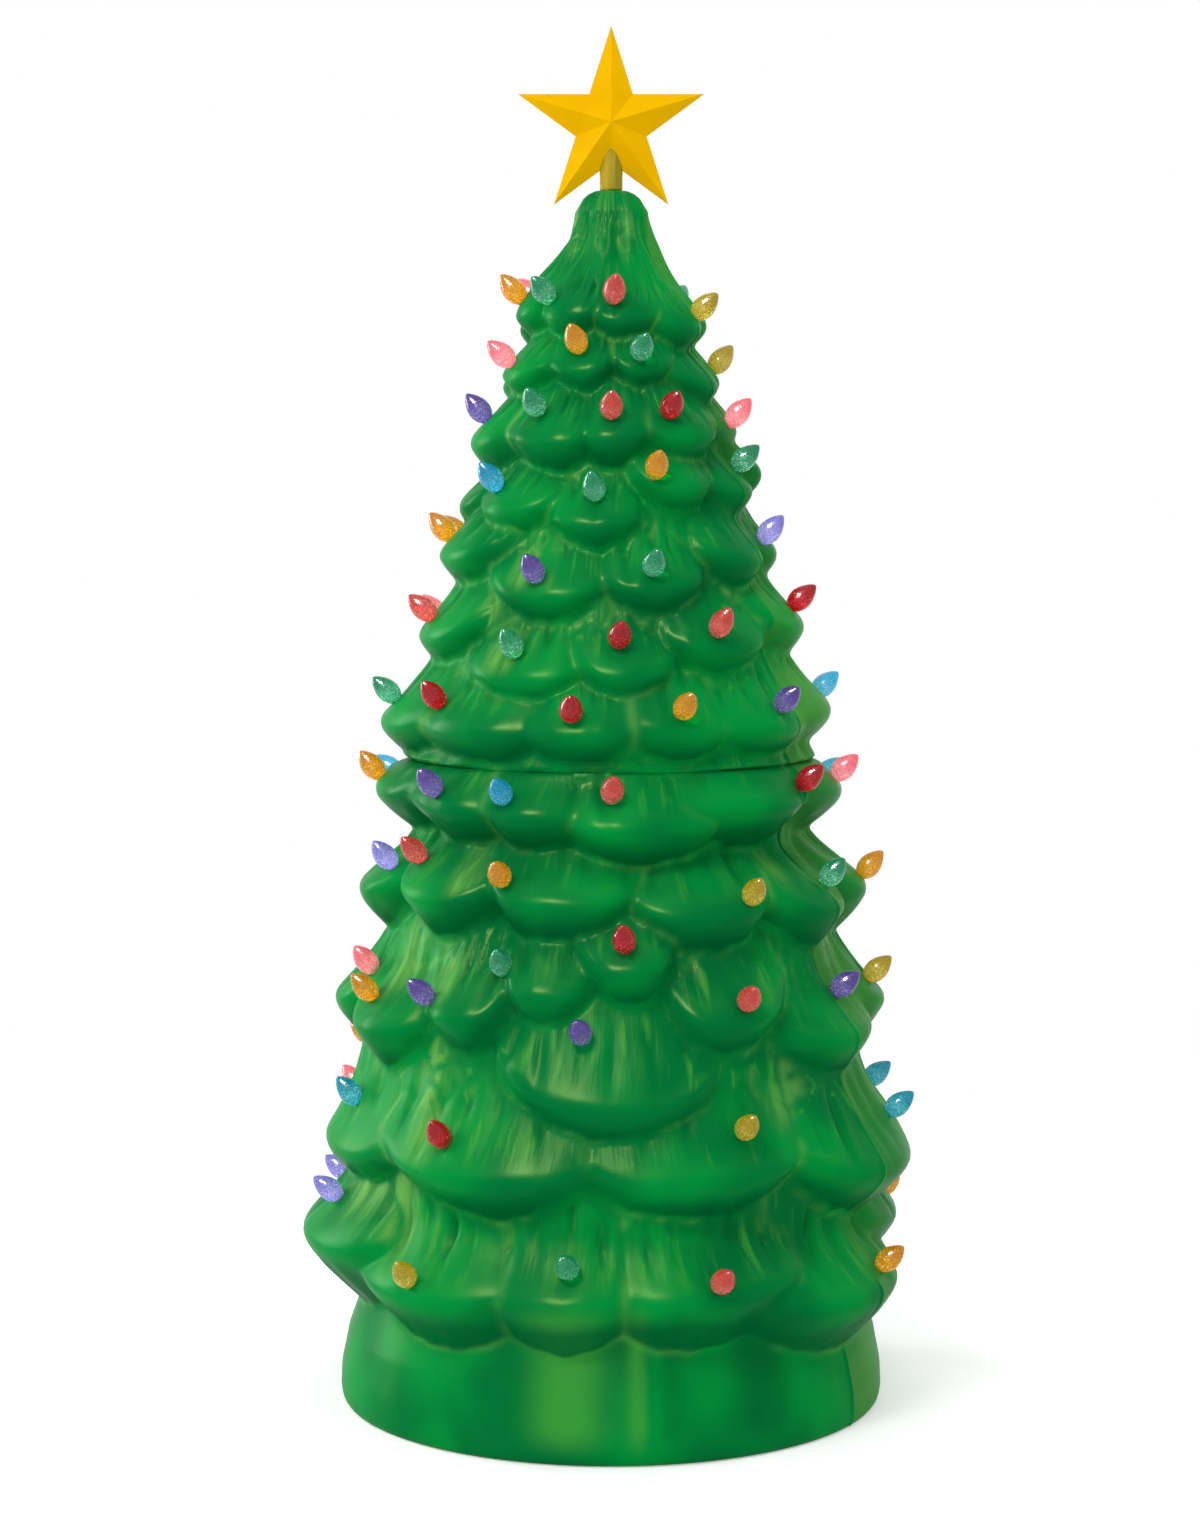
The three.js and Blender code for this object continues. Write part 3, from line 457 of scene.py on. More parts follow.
def skin(low, high, columns, rows):
    # Angles with more columns at the parting ridges, then rows that crowd where the wall turns
    plain = [-180 + 360 / columns * i for i in range(columns)]
    extra = [p + d for p in treeShape["partingAngles"] for d in (-0.6, -0.25, 0, 0.25, 0.6)]
    clear = [a for a in plain if all(abs(a - p) > 0.9 for p in treeShape["partingAngles"])]
    angles = np.array(sorted(clear + extra))
    fine = np.linspace(low, high, int(high - low) + 1)
    radius = withDimples(treeField(angles[:, None], fine[None, :])[0], angles[:, None], fine[None, :])
    weight = np.sqrt(1 + (0.6 * np.gradient(radius, fine, axis=1)) ** 2)
    kernel = smoothLine(6, 3.0)
    wrapped = np.concatenate([weight[-6:], weight, weight[:6]])
    weight = np.stack([np.convolve(wrapped[:, k], kernel, "valid") for k in range(fine.size)], axis=1)
    total = np.cumsum((weight[:, 1:] + weight[:, :-1]) / 2 * np.diff(fine), axis=1)
    total = np.concatenate([np.zeros((angles.size, 1)), total], axis=1)
    share = np.linspace(0, 1, rows)
    heights = np.stack([np.interp(share, t / t[-1], fine) for t in total])
    radius, *painted = treeField(angles[:, None], heights)
    return angles, heights, withDimples(radius, angles[:, None], heights), *painted


def smoothed(values, reach):
    # Blur over the grid of a skin, closed round the tree
    edge = 2 * reach
    kernel = smoothLine(edge, reach)
    wrapped = np.concatenate([values[-edge:], values, values[:edge]])
    values = np.apply_along_axis(lambda line: np.convolve(line, kernel, "valid"), 0, wrapped)
    padded = np.pad(values, ((0, 0), (edge, edge)), mode="edge")
    return np.apply_along_axis(lambda line: np.convolve(line, kernel, "valid"), 1, padded)


def linked(name, mesh):
    thing = bpy.data.objects.new(name, mesh)
    bpy.context.scene.collection.objects.link(thing)
    return thing


def meshObject(name, points, faces, smooth=True, sharp=50):
    mesh = bpy.data.meshes.new(name)
    mesh.from_pydata([tuple(p) for p in points], [], faces)
    mesh.validate()
    mesh.update()
    if smooth:
        mesh.shade_smooth()
        mesh.set_sharp_from_angle(angle=math.radians(sharp))
    return linked(name, mesh)


def addAttribute(mesh, name, kind, values):
    layer = mesh.attributes.new(name, kind, "POINT")
    field = {"FLOAT": "value", "FLOAT_VECTOR": "vector", "FLOAT_COLOR": "color"}[kind]
    layer.data.foreach_set(field, np.asarray(values, np.float32).ravel())


def shellObject(name, data, closing, material, carried=0):
    # The outside from the skin, then the closing outline of radius and height, down the inside
    angles, heights, radius, across, above, number, crease, glareAndShadeBand, flankLight = data
    count, rows = radius.shape
    ends = np.array(closing, float)
    # The folds of the last row run on over the first points of the closing outline
    uneven = radius[:, -1:] - radius[:, -1:].mean()
    fading = np.clip(1 - (np.arange(len(ends)) + 1) / max(carried, 1), 0, 1)
    r = np.concatenate([radius, ends[:, 0] + uneven * fading], axis=1) * mm
    z = np.concatenate([heights, np.broadcast_to(ends[:, 1], (count, len(ends)))], axis=1) * mm
    a = np.radians(angles)[:, None]
    points = np.stack([r * np.sin(a), -r * np.cos(a), z], axis=2).reshape(-1, 3)
    each = r.shape[1]
    c, i = np.meshgrid(np.arange(count), np.arange(each), indexing="ij")
    c, i = c.ravel(), i.ravel()
    nextC, nextI = (c + 1) % count, (i + 1) % each
    faces = np.stack([c * each + i, nextC * each + i, nextC * each + nextI, c * each + nextI], axis=1)
    thing = meshObject(name, points, faces.tolist())
    ridge = radius - smoothed(radius, 5)
    changes = (number != np.roll(number, 1, 0)) | (number != np.roll(number, 1, 1))
    joint = np.clip(smoothed(changes.astype(float), 1) * 2.5, 0, 1)
    crease = smoothed(crease, 1)

    def padded(values, fill=None):
        # Without a fill, the value of the last row runs on over the closing outline
        last = values[:, -1:] if fill is None else np.full((count, 1), fill)
        return np.concatenate([values, np.repeat(last, each - rows, axis=1)], axis=1).ravel()

    # Painted light: the wall just behind each parting ridge is painted paler, most near the ridge, as if lit from
    # behind
    behind = (turnOf(angles - treeShape["partingAngles"][0]) + 360) % 360
    rearLight = easeStep(behind, 0.2, 0.6) * easeStep(180 - behind, 0.2, 0.6)
    rearLight = rearLight * (0.2 + 0.8 * easeStep(np.minimum(behind, 180 - behind), 48, 8))
    for label, values, fill in (
            ("crease", crease, 0), ("joint", joint, 0), ("ridge", ridge, 0), ("glareAndShadeBand", glareAndShadeBand, 0),
            ("flankLight", flankLight, 0), ("above", smoothed(above, 1), None),
            ("rearLight", np.broadcast_to(rearLight[:, None], radius.shape), 0)):
        addAttribute(thing.data, label, "FLOAT", padded(values, fill))
    furrow = np.stack([padded(across), padded(above), padded(number * 37.0)], axis=1)
    addAttribute(thing.data, "furrow", "FLOAT_VECTOR", furrow)
    thing.data.materials.append(material)
    return thing


greenPaint = {
    "mid": "#008F3B", "deep": "#007336", "dark": "#006231", "light": "#43A23B", "pale": "#74B858",
    "rearLight": "#4F963A", "flankLightTint": "#62A84A", "gloss": (0.27, 0.34), "highlight": (0.7, 1.0, 0.3, 1.0),
    "brushScale": 1.0, "grain": 0.1, "streakLight": 0.7, "lips": 0.22, "glareShare": 0.75, "undersideShade": 0.85, "creaseHighlight": 0.5,
}


def treeMaterial():
    look = greenPaint
    material, tree, surface, place = startMaterial("moulded green plastic")
    furrow = attribute(tree, "furrow", "Vector")
    above, crease, ridge, rearLight, glareAndShadeBand, flankLight, joint = (attribute(tree, name) for name in (
        "above", "crease", "ridge", "rearLight", "glareAndShadeBand", "flankLight", "joint"))

    def painted(tint, mask, share, name):
        return blendColours(tree, times(tree, mask, share), tint, colour(look[name]))

    # Brush marks that run down each branch, as bumps and as painted highlight and shade streaked along the tops,
    # over a slow drift of the green
    brushAndSheen = noise(tree, stretched(tree, furrow, (0.10, 0.017, 0.5)), look["brushScale"], 3.0, 0.55)
    drift = noise(tree, place, 9.0, 2.0)
    clear = maths(tree, "SUBTRACT", 1.0, joint)
    onTop = times(tree, span(tree, above, 8.0, 34.0), clear)
    tint = blendColours(tree, span(tree, drift, 0.38, 0.64), colour(look["deep"]), colour(look["mid"]))
    tint = painted(tint, times(tree, span(tree, brushAndSheen, 0.54, 0.74), onTop), look["streakLight"], "light")
    tint = painted(tint, times(tree, span(tree, brushAndSheen, 0.46, 0.28), onTop), 0.4, "deep")
    # Painted highlight on raised places and painted shade in sunken ones, then the painted light on the flanks and
    # the painted reflections and shade in upright stripes on the base
    raised = times(tree, times(tree, span(tree, ridge, 0.3, 2.0), onTop), span(tree, above, 66.0, 36.0))
    tint = painted(tint, raised, look["lips"], "light")
    tint = painted(tint, times(tree, span(tree, ridge, -0.5, -2.2), onTop), 0.5, "deep")
    tint = painted(tint, span(tree, ridge, -3.0, -10.0), 0.4, "dark")
    # Painted light: pale brushed marks on the flanks where light falls from the side
    flankLightMask = times(tree, times(tree, span(tree, flankLight, 0.1, 0.8), clear), span(
        tree, brushAndSheen, 0.38, 0.56, 0.35, 0.95))
    tint = painted(tint, flankLightMask, span(tree, above, 2.0, 18.0), "flankLightTint")
    # Painted reflections and shade: upright lighter and darker stripes on the base
    tint = painted(tint, span(tree, glareAndShadeBand, 0.05, 1.0), look["glareShare"], "light")
    tint = painted(tint, span(tree, glareAndShadeBand, -0.05, -1.0), 0.7, "dark")
    # Painted shade on the underside of each branch
    tint = painted(tint, span(tree, above, -1.0, -22.0), look["undersideShade"], "dark")
    # Painted highlight: broken pale marks along the creases
    broken = span(tree, noise(tree, place, 14.0, 1.0), 0.42, 0.58)
    tint = painted(tint, times(tree, crease, broken), look["creaseHighlight"], "pale")
    # Painted light: paler paint behind the parting ridge, as if lit from behind
    tint = painted(tint, rearLight, span(tree, noise(tree, place, 11.0, 1.0), 0.36, 0.6, 0.2, 0.62), "rearLight")
    hairs = noise(tree, stretched(tree, furrow, (0.42, 0.03, 0.5)), 1.0, 2.0)
    brushed = times(tree, maths(tree, "ADD", brushAndSheen, times(tree, hairs, 0.3)), onTop)
    setInputs(tree, surface, {
        "Base Color": tint, "Specular Tint": look["highlight"], "IOR": 1.09,
        "Roughness": maths(tree, "ADD", span(tree, drift, 0.35, 0.65, *look["gloss"]), times(tree, onTop, 0.12)),
        "Normal": bump(tree, noise(tree, place, 420.0, 2.0), look["grain"], 0.0005, bump(tree, brushed, 0.3, 0.003)),
    })
    return material


treeGreen = treeMaterial()
shape = treeShape
wall, seatGap, seam = shape["wall"], shape["seatGap"], shape["seamHeight"]
spigotRadius = shape["seamRadius"] - wall - shape["spigotClearance"]
spigotTop = seam + shape["spigotHeight"]


def coreInside(low, high, count):
    return [(coreRadius(z) - wall - 3, z) for z in np.linspace(high, low, count)]


footRadius, coverHole, recess = shape["footRadius"], shape["coverHole"], shape["floorRecess"]
footInner = footRadius - shape["footRingWidth"]
lowerClosing = [
    (spigotRadius + 1, seam), (spigotRadius, seam + 1), (spigotRadius, spigotTop - 1.5),
    (spigotRadius - 1.5, spigotTop), (spigotRadius - wall + 1, spigotTop), (spigotRadius - wall, spigotTop - 1),
    (spigotRadius - wall, seam - wall), *coreInside(24, 520, 10),
    (footRadius - wall, wall + 6), (footRadius - wall - 6, wall), (footInner + wall / 2, wall),
    (footInner - recess / 2 - wall / 2, recess + wall), (coverHole, recess + wall), (coverHole, recess),
    (footInner - recess / 2 - 1, recess), (footInner - 2, 1.2), (footInner, 0.3), (footInner + 2, 0),
    (footRadius - 3, 0),
]
lowerShell = shellObject(
    "lowerShell", skin(0.6, seam, shape["lowerColumns"], shape["lowerRows"]), lowerClosing, treeGreen)
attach(lowerShell, "lower_body")
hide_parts("lower_shell")
print("lower section:", len(lowerShell.data.polygons), "faces")

neckTop, domeHeight = shape["neckTop"], shape["domeHeight"]
domeInner = shape["neckShoulder"] - shape["domeWidth"]
shoulder = neckTop - domeHeight
postHole = shape["postRadius"] + seatGap
rounding = [(shape["neckShoulder"] - shape["domeWidth"] * (1 - math.cos(t)), shoulder + domeHeight * math.sin(t))
            for t in np.radians([18, 36, 54, 72, 90])]
innerRadius = shape["seamRadius"] - wall
upperClosing = [
    *rounding, (postHole + 1.2, neckTop), (postHole, neckTop - 1), (postHole, neckTop - wall),
    (domeInner, neckTop - wall), (shape["neckShoulder"] - wall, shoulder - wall - 4), *coreInside(600, 1000, 9),
    (innerRadius, 582), (innerRadius, seam + 1.3), (innerRadius + 1, seam + seatGap),
]
upperShell = shellObject(
    "upperShell", skin(seam + seatGap, shoulder, shape["upperColumns"], shape["upperRows"]), upperClosing,
    treeGreen, 6)
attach(upperShell, "upper_body")
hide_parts("upper_shell")
print("upper section:", len(upperShell.data.polygons), "faces")


# Geometry Nodes helpers: a tree with named inputs, used once per piece and then made a plain mesh

def startTree(name, **kinds):
    # Inputs by kind of socket; each tree also takes the geometry and the material
    tree = bpy.data.node_groups.new(name, "GeometryNodeTree")
    identifiers = {}
    for kind, labels in {"Geometry": ["Geometry"], **kinds, "Material": ["Material"]}.items():
        for label in labels:
            socket = tree.interface.new_socket(name=label, in_out="INPUT", socket_type="NodeSocket" + kind)
            identifiers[label] = socket.identifier
    tree.interface.new_socket(name="Geometry", in_out="OUTPUT", socket_type="NodeSocketGeometry")
    start = addNode(tree, "NodeGroupInput")
    return tree, {socket.name: socket for socket in start.outputs if socket.name}, identifiers


def geometry(tree, kind, values=None, **properties):
    return addNode(tree, "GeometryNode" + kind, values, **properties).outputs[0]


def endTree(tree, made, material):
    real = geometry(tree, "RealizeInstances", {"Geometry": made})
    painted = geometry(tree, "SetMaterial", {"Geometry": real, "Material": material})
    addNode(tree, "NodeGroupOutput", {0: painted})


def evaluatedMesh(thing):
    bpy.context.view_layer.update()
    return bpy.data.meshes.new_from_object(thing.evaluated_get(bpy.context.evaluated_depsgraph_get()))


def madeByNodes(name, source, tree, identifiers, values):
    modifier = source.modifiers.new("maker", "NODES")
    modifier.node_group = tree
    for label, value in values.items():
        modifier[identifiers[label]] = value
    mesh = evaluatedMesh(source)
    mesh.name = name
    source.modifiers.remove(modifier)
    thing = linked(name, mesh)
    bpy.data.objects.remove(source)
    return thing


def pointSource(name, points, edges=()):
    mesh = bpy.data.meshes.new(name)
    mesh.from_pydata([tuple(p) for p in points], list(edges), [])
    return linked(name, mesh)


def placeOnTree(angle, radius, height):
    a = math.radians(angle)
    return Vector((radius * math.sin(a), -radius * math.cos(a), height)) * mm


def turnedTo(tree, vector, axis):
    return addNode(tree, "FunctionNodeAlignRotationToVector", {"Vector": vector}, axis=axis).outputs[0]


def standingOnPoints(tree, points, standing):
    # One at each point, its own up turned to the direction that the points carry
    aim = geometry(tree, "InputNamedAttribute", {"Name": "aim"}, data_type="FLOAT_VECTOR")
    return geometry(tree, "InstanceOnPoints", {
        "Points": points, "Instance": standing, "Rotation": turnedTo(tree, aim, "Z")})


def joined(tree, *parts):
    both = addNode(tree, "GeometryNodeJoinGeometry")
    for part in parts:
        tree.links.new(part, both.inputs[0])
    return both.outputs[0]


def ownPlace(tree):
    return addNode(tree, "ShaderNodeSeparateXYZ", {0: geometry(tree, "InputPosition")}).outputs


def movedTo(tree, made, x, y, z):
    return geometry(tree, "SetPosition", {"Geometry": made, "Position": joinXYZ(tree, x, y, z)})


def shifted(tree, made, z, turn=0.0):
    return geometry(tree, "Transform", {
        "Geometry": made, "Translation": joinXYZ(tree, z=z), "Rotation": (0.0, 0.0, turn)})


def hangingRod(tree, sides, radius, length):
    rod = geometry(tree, "MeshCylinder", {"Vertices": sides, "Radius": radius, "Depth": length})
    return shifted(tree, rod, times(tree, length, -0.5))


def bulbTree():
    tree, given, identifiers = startTree(
        "bulbMaker", Float=["Length", "Radius", "Sunk", "Stem Radius", "Stem Length"], Int=["Sides", "Rings"])
    ball = geometry(tree, "MeshUVSphere", {"Segments": given["Sides"], "Rings": given["Rings"], "Radius": 1.0})
    here = ownPlace(tree)
    along = times(tree, maths(tree, "ADD", here[2], 1.0), 0.5)
    taper = addNode(tree, "ShaderNodeFloatCurve", {"Value": along})
    curve = taper.mapping.curves[0]
    curve.points[0].location = (0.0, 0.88)
    curve.points[1].location = (1.0, 0.52)
    for spot in ((0.3, 1.0), (0.55, 0.94), (0.8, 0.76)):
        curve.points.new(*spot)
    taper.mapping.update()
    wide = times(tree, taper.outputs[0], given["Radius"])
    height = maths(tree, "SUBTRACT", times(tree, along, given["Length"]), given["Sunk"])
    kept = geometry(tree, "StoreNamedAttribute", {
        "Geometry": ball, "Name": "along", "Value": along}, data_type="FLOAT", domain="POINT")
    teardrop = movedTo(tree, kept, times(tree, here[0], wide), times(tree, here[1], wide), height)
    both = joined(tree, teardrop, hangingRod(tree, 10, given["Stem Radius"], given["Stem Length"]))
    smooth = geometry(tree, "SetShadeSmooth", {"Geometry": both})
    endTree(tree, standingOnPoints(tree, given["Geometry"], smooth), given["Material"])
    return tree, identifiers


bulbColours = {
    "red": ("#A30014", "#DE3340"), "coral": ("#C0443A", "#F0A298"), "amber": ("#C28600", "#F8CE50"),
    "gold": ("#A89212", "#ECDC72"), "green": ("#00875A", "#A8F4D4"), "teal": ("#0090A6", "#8EE2E6"),
    "blue": ("#008EB4", "#8CE0EC"), "sky": ("#30AED2", "#AEE8F2"), "purple": ("#574293", "#B8AEDE"),
    "lavender": ("#8A84CC", "#D8D6F4"), "pink": ("#EC7884", "#FDDADC"),
}

bulbLook = {"pebbles": 620.0, "glitter": 900.0, "bellyLight": 0.55, "clearness": 0.45, "coat": 0.4, "glow": 0.16}


def bulbMaterial():
    look = bulbLook
    material, tree, surface, place = startMaterial("pebbled bulb plastic")
    deep = attribute(tree, "deep", "Color")
    pale = attribute(tree, "pale", "Color")
    along = attribute(tree, "along")
    pebble = addNode(tree, "ShaderNodeTexVoronoi", {"Vector": place, "Scale": look["pebbles"]})
    spark = addNode(tree, "ShaderNodeTexVoronoi", {"Vector": place, "Scale": look["glitter"]})
    glitter = addNode(tree, "ShaderNodeSeparateColor", {0: spark.outputs["Color"]}).outputs[0]
    # Painted light: the lower middle of each bulb is paler, as if lit through, broken up by the glitter; the
    # brightest glitter specks are painted white glints
    litBelly = times(tree, span(tree, along, 0.78, 0.36), span(tree, along, 0.02, 0.2))
    speck = span(tree, glitter, 0.5, 0.95, 0.35, 1.0)
    glitterAndLight = times(tree, maths(tree, "ADD", times(tree, litBelly, look["bellyLight"]), 0.02), speck)
    tint = blendColours(tree, glitterAndLight, deep, pale)
    shine = times(tree, span(tree, glitter, 0.95, 1.0), span(tree, along, 0.75, 0.35, 0.03, 0.4))
    tint = blendColours(tree, shine, tint, colour("#FFFFFF"))
    setInputs(tree, surface, {
        "Base Color": tint, "Roughness": span(tree, glitter, 0.2, 0.9, 0.14, 0.3),
        "Transmission Weight": look["clearness"], "IOR": 1.25, "Coat Weight": look["coat"], "Coat Roughness": 0.04,
        "Emission Color": tint, "Emission Strength": look["glow"],
        "Normal": bump(tree, pebble.outputs["Distance"], 0.25, 0.0007),
    })
    return material


bulbPlastic = bulbMaterial()
wireShape = {"radius": 1.8, "sides": 8, "steps": 90, "fromWall": 14, "low": 12}
wireGreen = plainPlastic("string wire", "#1C5A34", roughness=(0.45, 0.6))


def wireTree():
    tree, given, identifiers = startTree("wireMaker", Float=["Radius"], Int=["Sides", "Steps"])
    path = geometry(tree, "MeshToCurve", {"Mesh": given["Geometry"]})
    path = geometry(tree, "ResampleCurve", {"Curve": path, "Count": given["Steps"]})
    ring = geometry(tree, "CurvePrimitiveCircle", {"Resolution": given["Sides"], "Radius": given["Radius"]})
    tube = geometry(tree, "CurveToMesh", {"Curve": path, "Profile Curve": ring, "Fill Caps": True})
    smooth = geometry(tree, "SetShadeSmooth", {"Geometry": tube})
    endTree(tree, smooth, given["Material"])
    return tree, identifiers


bulbMaker, bulbInputs = bulbTree()
wireMaker, wireInputs = wireTree()


def stringPieces(label, body, first, last):
    look = bulbShape
    seats, aims, names, wires, edges = [], [], [], [], []
    for string in bulbSeats[first:last]:
        for k, (angle, height, radius, name) in enumerate(string):
            seats.append(placeOnTree(angle, radius - look["dimple"], height))
            names.append(name)
            # No two bulbs point quite alike
            lift = math.radians(look["tilt"]) + math.radians(look["tiltWobble"]) * math.sin(angle * 2.7 + height)
            turn = angle + look["turnWobble"] * math.sin(angle * 1.3 + height * 0.7)
            aims.append(placeOnTree(turn, math.cos(lift), math.sin(lift)) / mm)
            inner = coreRadius(height - 8) - wall - wireShape["fromWall"]
            wires.append(placeOnTree(angle, inner, height - wireShape["low"]))
            if k:
                edges.append((len(wires) - 2, len(wires) - 1))
    source = pointSource(label + "Seats", seats)
    addAttribute(source.data, "aim", "FLOAT_VECTOR", aims)
    for k, shade in enumerate(("deep", "pale")):
        addAttribute(source.data, shade, "FLOAT_COLOR", [colour(bulbColours[name][k]) for name in names])
    bulbs = madeByNodes("bulbs" + label, source, bulbMaker, bulbInputs, {
        "Length": look["length"] * mm, "Radius": look["radius"] * mm, "Sunk": look["sunk"] * mm,
        "Stem Radius": look["stemRadius"] * mm, "Stem Length": look["stemLength"] * mm,
        "Sides": look["sides"], "Rings": look["rings"], "Material": bulbPlastic})
    wire = madeByNodes("wires" + label, pointSource(label + "Wires", wires, edges), wireMaker, wireInputs, {
        "Radius": wireShape["radius"] * mm, "Sides": wireShape["sides"], "Steps": wireShape["steps"],
        "Material": wireGreen})
    nodes = ["light_string_%02d" % (i + 1) for i in range(first, last)]
    for piece, slot in ((bulbs, "bulb"), (wire, "cable_green")):
        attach(piece, body)
        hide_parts(*nodes)
    print("bulbs on", body, len(seats), "faces", len(bulbs.data.polygons))


stringPieces("Lower", "lower_body", 0, 6)
stringPieces("Upper", "upper_body", 6, 13)

# The star: two faceted halves round a sleeve on the post
starShape = {
    "radius": 82, "innerRatio": 0.382, "halfDepth": 24, "rim": 2.5, "wall": 1.8, "rise": 55, "gap": 0.15,
    "sleeveRadius": 9.7, "sleeveBore": 7.9, "sleeveLength": 44, "sleeveSides": 64, "edge": 0.5, "tipInset": 4,
}


def starPlastic():
    material, tree, surface, place = startMaterial("star yellow plastic")
    cloud = noise(tree, place, 22.0, 2.0)
    grain = noise(tree, place, 700.0, 2.0)
    tint = blendColours(tree, span(tree, cloud, 0.35, 0.65), colour("#C89400"), colour("#CE9E00"))
    # Painted light: a faint yellow emission brightens the facets and evens out their shading
    setInputs(tree, surface, {
        "Base Color": tint, "Roughness": span(tree, grain, 0.3, 0.7, 0.36, 0.46),
        "Specular Tint": (1.0, 0.8, 0.12, 1.0), "Specular IOR Level": 0.02,
        "Emission Color": colour("#F0BC00"), "Emission Strength": 0.3,
        "Normal": bump(tree, grain, 0.08, 0.0003),
    })
    return material


starYellow = starPlastic()


def starOutline(inset):
    points = []
    for i in range(10):
        tip, notch = starShape["radius"], starShape["radius"] * starShape["innerRatio"]
        radius = notch - inset if i % 2 else tip - starShape["tipInset"] * inset
        a = math.pi / 2 + math.pi * i / 5
        points.append((radius * math.cos(a), radius * math.sin(a)))
    return points


def lathe(name, profile, sides, material=None, place=None):
    # A turned piece from radius and height, bottom first; a radius of zero is a pole
    points, rings = [], []
    for i, (radius, height) in enumerate(profile):
        if i == len(profile) - 1 and (radius, height) == tuple(profile[0]):
            rings.append(rings[0])
        elif radius < 1e-6:
            rings.append([len(points)] * sides)
            points.append((0, 0, height * mm))
        else:
            rings.append([len(points) + k for k in range(sides)])
            for k in range(sides):
                a = 2 * math.pi * k / sides
                points.append((radius * mm * math.cos(a), radius * mm * math.sin(a), height * mm))
    faces = []
    for low, high in zip(rings, rings[1:]):
        for k in range(sides):
            j = (k + 1) % sides
            # Corners that meet at a pole count once
            face = list(dict.fromkeys((low[k], low[j], high[j], high[k])))
            if len(face) > 2:
                faces.append(face)
    if place is not None:
        points = [tuple(place @ Vector(p)) for p in points]
    thing = meshObject(name, points, faces, sharp=40)
    if material is not None:
        thing.data.materials.append(material)
    return thing


def applied(thing):
    # Bakes the modifiers of a piece into its mesh
    mesh = evaluatedMesh(thing)
    thing.modifiers.clear()
    thing.data = mesh


def cutAway(thing, cutter):
    modifier = thing.modifiers.new("cut", "BOOLEAN")
    modifier.operation = "DIFFERENCE"
    modifier.solver = "EXACT"
    modifier.object = cutter
    applied(thing)
    bpy.data.objects.remove(cutter)


def bevelled(thing, width, segments, angle):
    modifier = thing.modifiers.new("edge", "BEVEL")
    modifier.width = width * mm
    modifier.segments = segments
    modifier.limit_method = "ANGLE"
    modifier.angle_limit = math.radians(angle)
    applied(thing)


def refinished(thing, material, sharp):
    thing.data.shade_smooth()
    thing.data.set_sharp_from_angle(angle=math.radians(sharp))
    thing.data.materials.clear()
    thing.data.materials.append(material)


def starHalf(name, side):
    depth, rim, thickness = starShape["halfDepth"], starShape["rim"], starShape["wall"]
    # Round the rim from its front edge to the back, then up the inside of the wall
    rings = [[(x, z, d) for x, z in starOutline(inset)] for inset, d in (
        (0, rim), (0, 0), (thickness, 0), (thickness, rim - thickness / 2))]
    flat = [(0, 0, depth)] + [p for ring in rings for p in ring] + [(0, 0, depth - thickness)]
    last = len(flat) - 1
    faces = []
    for i in range(10):
        j = (i + 1) % 10
        faces.append((0, 1 + i, 1 + j))
        for upper in (1, 11, 21):
            lower = upper + 10
            faces.append((upper + i, lower + i, lower + j, upper + j))
        faces.append((last, 31 + j, 31 + i))
    centre = neckTop + starShape["rise"]
    points = [(side * x * mm, -side * (d + starShape["gap"]) * mm, (z + centre) * mm) for x, z, d in flat]
    half = meshObject(name, points, faces, smooth=False)
    bottom = neckTop + seatGap - 1
    room = starShape["sleeveRadius"] + 0.3
    cutAway(half, lathe("sleeveRoom", [(0, bottom), (room, bottom), (room, bottom + 46), (0, bottom + 46)], 48))
    bevelled(half, starShape["edge"], 2, 18)
    refinished(half, starYellow, 12)
    return half


for name, side, node in (("starFront", 1, "star_front"), ("starBack", -1, "star_back")):
    half = starHalf(name, side)
    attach(half, "star_body")
    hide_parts(node)
    print(name, len(half.data.polygons), "faces")


def sleevePlastic():
    material, tree, surface, place = startMaterial("tinted sleeve plastic")
    turned = addNode(tree, "ShaderNodeMapping", {"Vector": place, "Scale": (160.0, 160.0, 9.0)}).outputs[0]
    flow = noise(tree, turned, 1.0, 3.0)
    tint = blendColours(tree, span(tree, flow, 0.35, 0.65), colour("#96991F"), colour("#D0B62A"))
    setInputs(tree, surface, {
        "Base Color": tint, "Roughness": 0.14, "Transmission Weight": 0.4, "IOR": 1.2,
        "Coat Weight": 0.25, "Coat Roughness": 0.08, "Normal": bump(tree, flow, 0.1, 0.0006),
    })
    return material


low = neckTop + seatGap
high = low + starShape["sleeveLength"]
bore, outer = starShape["sleeveBore"], starShape["sleeveRadius"]
sleeve = lathe("starSleeve", [
    (bore, low + 0.4), (bore + 0.4, low), (outer - 0.5, low), (outer, low + 0.5), (outer, high - 0.5),
    (outer - 0.5, high), (bore + 0.4, high), (bore, high - 0.4), (bore, low + 0.4)],
    starShape["sleeveSides"], sleevePlastic())
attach(sleeve, "star_body")
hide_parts("star_sleeve")

postShape = {"tail": 30, "flange": 13, "height": 36, "ribs": 6, "ribDepth": 0.5, "lampBore": 2.9}
postGreen = plainPlastic("post green plastic", "#0B7F38")
postRadius, flange, bore = shape["postRadius"], postShape["flange"], postShape["lampBore"]
postFoot, postTop = neckTop - wall - seatGap, neckTop + postShape["height"]
postTail = postFoot - postShape["tail"]
postProfile = [
    (0, postTail), (5, postTail), (6, postTail + 1), (6, postFoot - 3), (flange - 0.5, postFoot - 3),
    (flange, postFoot - 2.5), (flange, postFoot - 0.5), (flange - 0.5, postFoot), (postRadius, postFoot)]
groove = postRadius - postShape["ribDepth"]
for k in range(postShape["ribs"]):
    z = neckTop + 4 + 5 * k
    postProfile += [(postRadius, z), (groove, z + 0.6), (groove, z + 1.6), (postRadius, z + 2.2)]
